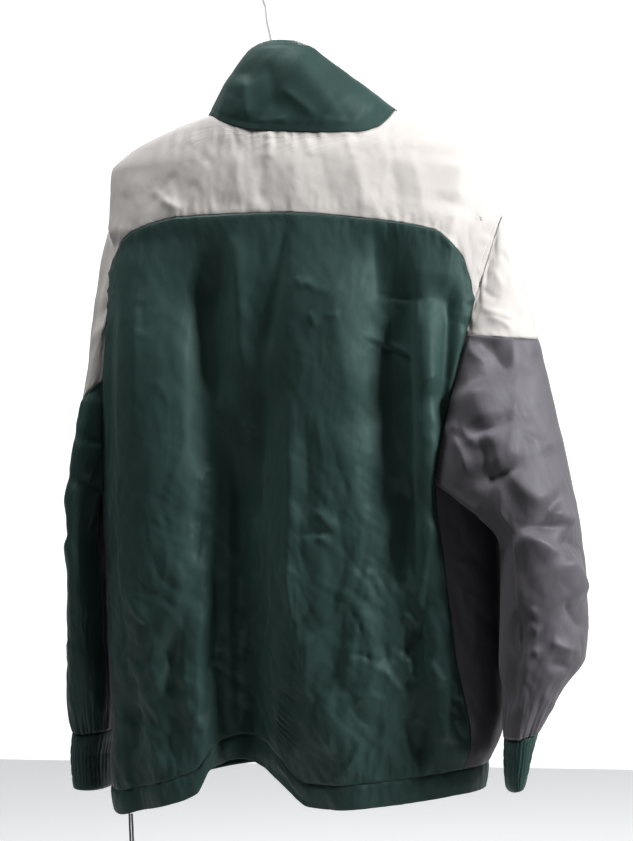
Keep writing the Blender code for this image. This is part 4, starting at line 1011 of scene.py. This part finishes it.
def sleeveTurns(side, part):
    # columns, close together where the sleeve leaves the armhole's corners
    seamA, seamB = sleeveSeams[side]
    back, front = (armholeTurn(side, which, 2 if part == "cap" else 0) for which in ("back", "front"))
    turns = {"cap": (front - 1, back), "back": (seamA, back, seamB), "front": (seamB, front, seamA + 1)}[part]
    spans = zip(turns, turns[1:], sleeveGrid["columns"][part])
    return np.unique(np.concatenate([np.linspace(*span) for span in spans]).round(6))


def sleeveRelief(side, part, turn, points, normal):
    isCap, isLeft = part == "cap", side == "left"
    z = points[..., 2]
    around = turn * 330 + (700 if isLeft else 0)
    start = edgeRun(points, 0)[0]
    high = np.interp(-z, sleeveTaut["down"], sleeveTaut["high"])
    relief = high * crumpled(around, z * 0.9, 77 if isLeft else 61)
    relief += gathered("cap", around, z - capHeight(side, turn))
    if isCap:   # puffs along the sewn armhole
        relief += gathered("armhole", around, start)
    # drawn in to the elastic
    relief += gathered("cuff", around, z - sleeveSections[side]["z"][-1])
    # the left sleeve takes the right one's creases, turned about
    creases = capCreases if isCap else sleeveCreases
    spots = points * np.array((-1.0 if isLeft else 1.0, 1.0, 1.0))
    seen = (1.0 if isLeft else 2.0 if isCap else 2.6) * creased(spots, creases)
    far = 0.75 * creased(mirroredSpot(spots), creases)
    back = normal[..., 1] * 1.5
    relief += np.where(back > 0, seen * ease(back + 0.45), far * ease(0.2 - back))
    relief *= ease(start / 5 + 0.1) if isCap else np.where(z > underarmHeight - 30, ease(start / 10 + 0.1), 1.0)
    # clear of the body, which the inner side nearly touches
    inner = (np.mod(turn, 1.0) > 0.3) & (np.mod(turn, 1.0) < 0.7)
    return settled(np.where(inner, np.clip(relief, -2.5, 1.0 if isLeft else 2.0), relief), 1)


def sleeveCloth(side, part):
    columns = sleeveTurns(side, part)
    seam = capSeam(side, columns)
    if part == "cap":
        t = seam * np.linspace(0, 1, sleeveGrid["capRows"])[:, None]
    else:
        t = mix(seam, 2.0, np.linspace(0, 1, sleeveGrid["rows"])[:, None])
    turn = np.broadcast_to(columns, t.shape)
    points = sleevePoint(side, turn, t)
    around = sleevePoint(side, turn + 0.004, t) - sleevePoint(side, turn - 0.004, t)
    down = sleevePoint(side, turn, np.minimum(t + 0.01, 2)) - sleevePoint(side, turn, np.maximum(t - 0.01, 0))
    normal = unit(np.cross(down, around)) * (1 if side == "left" else -1)
    relief = sleeveRelief(side, part, turn, points, normal)
    relief = relief + seamDip(points, "b" if part == "cap" else "tlrb") + clothOut
    return points + normal * relief[..., None], normal


for (side, part), look in sleeveLooks.items():
    clothPiece(f"sleeve{part.title()}{side.title()}", look, *sleeveCloth(side, part))
print("sleeves are set in")


# cuffs
cuffLooks = {
    "left": {"cloth": "green", "flat": (0.25, 0.066), "restsOn": ["sleeveBackLeft"]},
    "right": {"cloth": "green", "flat": (0.22, 0.057), "restsOn": ["sleeveBackRight"]},
}


elastic = {"columns": 240, "rows": 26, "ribs": 34, "ribHigh": 0.9, "stitched": (0.2, 0.4, 0.6, 0.8),
           "stitchDeep": 0.5, "full": 1.5}


def cuffCloth(side):
    heights = cuffSections[side]["z"]
    turn, down = np.meshgrid(np.linspace(0, 1, elastic["columns"], endpoint=False),
                             np.linspace(0, 1, elastic["rows"]))
    points = tubePoint(cuffs[side], side, turn, mix(float(heights[0]), float(heights[-1]), down))
    around = np.roll(points, -1, axis=1) - np.roll(points, 1, axis=1)
    normal = unit(np.cross(np.array((0, 0, -1.0)), around)) * (1 if side == "left" else -1)
    uneven = 0.35 * softNoise(turn * 30, down * 2, 91)
    ribs = elastic["ribHigh"] * np.sin(2 * np.pi * (turn * elastic["ribs"] + uneven))
    ribs *= 0.55 + 0.45 * softNoise(turn * 22, down * 1.5, 93)
    rows = -elastic["stitchDeep"] * sum(np.exp(-((down - at) / 0.025) ** 2) for at in elastic["stitched"])
    relief = (0.2 + elastic["full"] * np.sin(np.pi * down) ** 0.5
              + ribs * np.sin(np.pi * np.clip(down, 0.06, 0.94)) ** 0.6 + rows)
    return points + normal * relief[..., None], normal


for side, look in cuffLooks.items():
    look |= {"thick": 1.6, "held": "gathered"}
    clothPiece(f"cuff{side.title()}", look, *cuffCloth(side), closed=True)
print("cuffs are gathered")

# collar
collarCurves = tableCurves(collarEdge, "angle")
collarLook = {"cloth": "green", "node": "collar", "flat": (0.50, 0.13), "area": 0.055, "restsOn": ["backYoke"],
              "thick": 1.5, "columns": 230, "rows": 64, "tall": 110, "lap": 2.0, "leansOut": 7.0}


def neckHeight(angle):
    z = np.full(np.shape(angle), -200.0)
    for _ in range(30):
        z = mix(z, seamHeight("neck", angle, z), 0.5)
    return z


def neckSpot(angle):
    return bodyPoint(angle, neckHeight(angle))


def collarPoint(angle, v):
    normal = bodyNormal(angle, neckHeight(angle))
    away = unit(np.cross(neckSpot(angle + 1) - neckSpot(angle - 1), normal))
    away = away * np.sign(away[..., 2:3])
    foot = neckSpot(angle) - away * collarLook["lap"] + normal * 0.3     # laps the yokes' top edge
    edge = np.stack([collarCurves[name](angle) for name in "xyz"], -1)
    line = mix(foot, edge, v[..., None])
    out = line - np.stack(np.broadcast_arrays(-10.0, -5.0, line[..., 2]), -1)
    return line + unit(out) * sizes["collarFull"] * np.sin(np.pi * v)[..., None]


def collarCloth():
    spots = np.linspace(*sizes["collarEnds"], 500)
    run = edgeRun(collarPoint(spots, np.full(500, 0.4)), 0)[0]
    columns = np.interp(np.linspace(0, run[-1], collarLook["columns"]), run, spots)
    angle, v = np.meshgrid(columns, np.linspace(0, 1, collarLook["rows"]))
    points = collarPoint(angle, v)
    around = collarPoint(angle + 1, v) - collarPoint(angle - 1, v)
    up = collarPoint(angle, np.minimum(v + 0.02, 1)) - collarPoint(angle, np.maximum(v - 0.02, 0))
    normal = unit(np.cross(around, up))
    back = normal[..., 1]
    along, high = edgeRun(points, 1)[0], v * collarLook["tall"]
    relief = 0.12 * crumpled(along, high, 101) + gathered("collar", along, v * 100)
    relief += 0.7 * softNoise(along / 40, v * 1.8, 107) + collarLook["leansOut"] * ease(v) * ease(back * 2)
    seen = 1.2 * creased(points, collarCreases) * ease(back * 1.6 + 0.3)
    far = 0.9 * creased(mirroredSpot(points), collarCreases) * ease(-back * 1.6 + 0.1)
    relief += np.where(back > 0, seen, far)
    relief = relief * ease(v * 7 + 0.15) * ease((1 - v) * 5 + 0.4) + 0.85
    relief = settled(relief, 2) + 0.7 * np.exp(-(high / 8) ** 2)
    relief += 0.7 * np.exp(-((collarLook["tall"] - high) / 5) ** 2)      # rolled edge
    relief -= 0.35 * np.exp(-((high - 8) / 1.4) ** 2)                    # stitched foot
    return points + normal * relief[..., None], normal


clothPiece("collarCloth", collarLook, *collarCloth())
print("collar is on")


# zip: woven tape, moulded teeth and the box at its lower end
zipLook = {"tapeThick": 0.7, "pitch": 2.7, "tooth": (3.4, 1.5, 1.7), "edge": 0.32, "apart": 0.75, "rows": 240,
           "box": (7.4, 12.5, 3.2)}


def zipPath(offset):
    edges = (lambda z: zipAngle(offset, z), lambda z: zipAngle(offset + 0.01, z))
    angle, z = bodyPlaces(edges, [seamLines["neck front"], seamLines["hem front"]], [0.0],
                          np.linspace(0, 1, zipLook["rows"]))
    return bodyPoint(angle, z)[:, 0], bodyNormal(angle, z)[:, 0]


def makeTape():
    columns = np.linspace(-sizes["zipWide"] / 2, sizes["zipWide"] / 2, 9)
    points, normal = (np.stack(part, 1) for part in zip(*(zipPath(offset) for offset in columns)))
    bead = 0.35 * np.exp(-((np.abs(columns) - 2.6) / 0.5) ** 2)
    run = edgeRun(points, 0)[0]
    points = points + normal * (0.2 + bead + 0.25 * softNoise(run / 30, points[..., 0] / 40, 5))[..., None]
    look = {"cloth": "tape", "node": "zip", "flat": (0.012, 0.72), "thick": zipLook["tapeThick"],
            "restsOn": ["frontPanelLeft", "frontPanelRight"]}
    clothPiece("zipTape", look, points, normal)
    return points[:, 4], normal[:, 4]


def toothMesh():
    bpy.ops.mesh.primitive_cube_add(size=1)
    tooth = bpy.context.object
    tooth.scale = zipLook["tooth"]
    bpy.ops.object.transform_apply(location=True, rotation=True, scale=True)
    edge = tooth.modifiers.new("edge", "BEVEL")
    edge.width = zipLook["edge"]
    edge.segments = 1
    bpy.ops.object.modifier_apply(modifier=edge.name)
    verts = np.array([v.co[:] for v in tooth.data.vertices])
    faces = [list(f.vertices) for f in tooth.data.polygons]
    bpy.data.objects.remove(tooth)
    return verts, faces


def read(stops, run, line):
    return np.stack([np.interp(stops, run, line[:, k]) for k in range(3)], -1)


def along(line, normals, pitch, start=0.0, end=0.0):
    # evenly spaced spots on a line over the cloth, with the ways along, out of and across it
    run = edgeRun(line, 0)[0]
    stops = np.arange(start + pitch / 2, run[-1] - end, pitch)
    ahead = unit(read(stops + pitch * 0.4, run, line) - read(stops - pitch * 0.4, run, line))
    side = unit(np.cross(ahead, unit(read(stops, run, normals))))
    return read(stops, run, line), ahead, np.cross(side, ahead), side


def copiesAlong(name, shape, spots, ahead, out, side, material):
    # one small shape set at each spot; its own x goes aside, y ahead and z out
    verts, faces = shape
    placed = spots[:, None] + sum(verts[None, :, k:k + 1] * way[:, None]
                                  for k, way in enumerate((side, ahead, out)))
    mesh = bpy.data.meshes.new(name)
    total = [[i + n * len(verts) for i in face] for n in range(len(spots)) for face in faces]
    mesh.from_pydata((placed.reshape(-1, 3) * mm).tolist(), [], total)
    mesh.validate()
    edit = bmesh.new()
    edit.from_mesh(mesh)
    bmesh.ops.recalc_face_normals(edit, faces=edit.faces)
    edit.to_mesh(mesh)
    edit.free()
    jacketPiece(name, mesh, material)


zipLine, zipOut = makeTape()
tooth = toothMesh()
for name, shift, first in (("zipTeethLeft", 1, 0.0), ("zipTeethRight", -1, zipLook["pitch"] / 2)):
    spots, ahead, out, side = along(zipLine, zipOut, zipLook["pitch"], start=first, end=14.0)
    spots = spots + side * zipLook["apart"] * shift + out * 0.75
    copiesAlong(name, tooth, spots, ahead, out, side, zipNylon)


def zipBox():
    # the box that the pin goes into, at the lower end
    spots, ahead, out, side = (part[-5] for part in along(zipLine, zipOut, 2.0))
    bpy.ops.mesh.primitive_cube_add(size=1)
    box = bpy.context.object
    box.name = "zipBox"
    box.data.materials.append(zipNylon)
    bpy.ops.object.mode_set(mode="EDIT")
    bpy.ops.mesh.select_all(action="SELECT")
    bpy.ops.mesh.bevel(offset=0.12, segments=3, affect="EDGES")
    bpy.ops.object.mode_set(mode="OBJECT")
    box.scale = [size * mm for size in zipLook["box"]]
    box.rotation_euler = Matrix((side, ahead, out)).transposed().to_euler()
    box.location = (spots + out * 0.9) * mm
    bpy.ops.object.transform_apply(location=True, rotation=True, scale=True)
    box.data.shade_smooth()
    box.select_set(False)
    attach(box, "jacket")


zipBox()


def collarZip(side, column, nearby):
    # tape and half a row of teeth down one front edge of the collar
    points, normal = (part[::-1][3:-1] for part in madeCloth["collarCloth"][:2])
    away, out = unit(points[:, column] - points[:, nearby]), normal[:, column]
    line = points[:, column] - out * 1.9
    grid = line[:, None] + away[:, None] * np.linspace(-8.0, 2.6, 6)[None, :, None]
    long = edgeRun(grid, 0)[0][-1, 2] * mm
    look = {"cloth": "tape", "node": "zip", "flat": (0.0106, round(float(long), 3)),
            "restsOn": ["collarCloth"], "thick": zipLook["tapeThick"]}
    clothPiece(f"collarTape{side}", look, grid, np.repeat(out[:, None], 6, 1))
    spots, ahead, out, aside = along(line + away * 2.4, out, zipLook["pitch"])
    copiesAlong(f"collarTeeth{side}", tooth, spots - out * 0.1, ahead, out, aside, zipNylon)


collarZip("Left", 0, 1)
collarZip("Right", -1, -2)
print("zip is sewn in")

# sewing: short threads that lie on the finished cloth
stitchLook = {"long": 2.3, "wide": 0.55, "high": 0.32, "pitch": 3.1}


def stitchShape():
    half, wide, high = stitchLook["long"] / 2, stitchLook["wide"] / 2, stitchLook["high"]
    verts = [(0, -half, -0.15)]
    for y in (-half * 0.6, half * 0.6):
        verts += [(wide, y, 0), (0, y, high), (-wide, y, 0), (0, y, -high)]
    verts.append((0, half, -0.15))
    faces = [[0, 1 + k, 1 + (k + 1) % 4] for k in range(4)]
    faces += [[1 + k, 5 + k, 5 + (k + 1) % 4, 1 + (k + 1) % 4] for k in range(4)]
    faces += [[9, 5 + (k + 1) % 4, 5 + k] for k in range(4)]
    return np.array(verts), faces


stitch = stitchShape()


def rowIn(name, edge, inset):
    # line over a piece, at one distance from an edge
    points, normal = madeCloth[name][:2]
    if edge in "lr":
        points, normal = points.transpose(1, 0, 2), normal.transpose(1, 0, 2)
    if edge in "br":
        points, normal = points[::-1], normal[::-1]
    run = edgeRun(points, 0)[0]
    line, outs = (np.array([[np.interp(inset, run[:, c], part[:, c, k]) for k in range(3)]
                            for c in range(part.shape[1])]) for part in (points, normal))
    return line, unit(outs)


sewnRows = {  # distances of the rows of stitches from the top, bottom, left and right edges
    "backYoke": {"t": (3.5, 9.5), "l": (3.2, 8.6), "r": (3.2, 8.6)},
    "frontYokeLeft": {"t": (3.5, 9.5), "l": (4.5,), "r": (3.2, 8.6)},
    "frontYokeRight": {"t": (3.5, 9.5), "l": (3.2, 8.6), "r": (4.5,)},
    "backPanel": {"t": (2.6,), "l": (2.6,), "r": (2.6,)},
    "frontPanelLeft": {"t": (2.6,), "l": (4.5,), "r": (2.6,)},
    "frontPanelRight": {"t": (2.6,), "l": (2.6,), "r": (4.5,)},
    "hemCasing": {"t": (3.6,)},
    "collarCloth": {"b": (7.5,), "l": (5.5,), "r": (5.5,)},
    **{f"sleeve{part}{side}": {"t": (2.6,), "b": (2.6,)}
       for part in ("Back", "Front") for side in ("Left", "Right")},
}
for name, edges in sewnRows.items():
    thread, slot = madeCloth[name][2:]
    label = name[0].upper() + name[1:].replace("Cloth", "")
    for edge, insets in edges.items():
        for number, inset in enumerate(insets):
            spots, ahead, out, side = along(*rowIn(name, edge, inset), stitchLook["pitch"], start=1.5, end=1.5)
            copiesAlong(f"stitches{label}{edge.upper()}{number}", stitch, spots + out * 0.1,
                        ahead, out, side, thread)
print("seams are stitched")

# drawcord, a loop that hangs from the casing
cordLook = {"angle": 38.0, "thick": 2.4, "drop": 62.0,
            "half": ((1.55, -0.75), (1.55, -7), (1.75, -16), (1.65, -28), (2.05, -38), (4.0, -46),
                     (5.6, -52), (5.6, -57), (3.4, -60.8))}


def cordSpots():
    z = float(seamLines["hem back"](np.array(cordLook["angle"]), np.array(-960.0)))
    foot = bodyPoint(np.array(cordLook["angle"]), np.array(z))
    half = cordLook["half"]
    route = [*half, (0.0, -cordLook["drop"]), *[(-x, dz) for x, dz in reversed(half)]]
    spots = np.array([(foot[0] + x, foot[1] + 0.015 * dz, foot[2] + dz) for x, dz in route])
    out = []
    for i in range(len(spots) - 1):
        a, b = spots[i], spots[i + 1]
        before, after = spots[max(i - 1, 0)], spots[min(i + 2, len(spots) - 1)]
        for t in (0.0, 0.5):
            out.append(0.5 * (2 * a + (b - before) * t + (2 * before - 5 * a + 4 * b - after) * t ** 2
                              + (3 * a - before - 3 * b + after) * t ** 3))
    return np.array([*out, spots[-1]])


def braidMaterial():
    material, tree, shader = newMaterial("braid", (0.013, 0.014, 0.014), 0.6, {"Sheen Weight": 0.2})
    place = shade(tree, "TexCoord", "Object", {}, {})
    strands = []
    for lean in (34, -34):
        turned = shade(tree, "Mapping", "Vector", {"Rotation": (0, math.radians(lean), 0)}, {"Vector": place})
        strands.append(shade(tree, "TexWave", "Fac", {"bands_direction": "Z", "Scale": 260, "Distortion": 0.6},
                             {"Vector": turned}))
    high = shade(tree, "Math", "Value", {"operation": "MAXIMUM"}, {0: strands[0], 1: strands[1]})
    dress(tree, shader, Base_Color=toned(tree, high, (0, (0.006, 0.0065, 0.0065)), (1, (0.03, 0.031, 0.031))),
          Normal=bumped(tree, high, 0.7, 0.0005))
    return material


def makeCord():
    spots = cordSpots()
    curve = bpy.data.curves.new("drawcordBraid", "CURVE")
    curve.dimensions = "3D"
    curve.bevel_depth = cordLook["thick"] / 2 * mm
    curve.bevel_resolution = 5
    curve.resolution_u = 4
    curve.use_fill_caps = True
    spline = curve.splines.new("POLY")
    spline.points.add(len(spots) - 1)
    for point, spot in zip(spline.points, spots):
        point.co = (*(spot * mm), 1)
    piece = jacketPiece("drawcordBraid", curve, braidMaterial())
    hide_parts("drawcord")


makeCord()
print("drawcord is threaded")

# hard pieces that keep the shape of the frame
for node, material in (("hanger", whitePlastic), ("zip_slider", zipSteel), ("zip_pull", zipSteel)):
    for slot in nodes[node].material_slots:
        slot.material = material
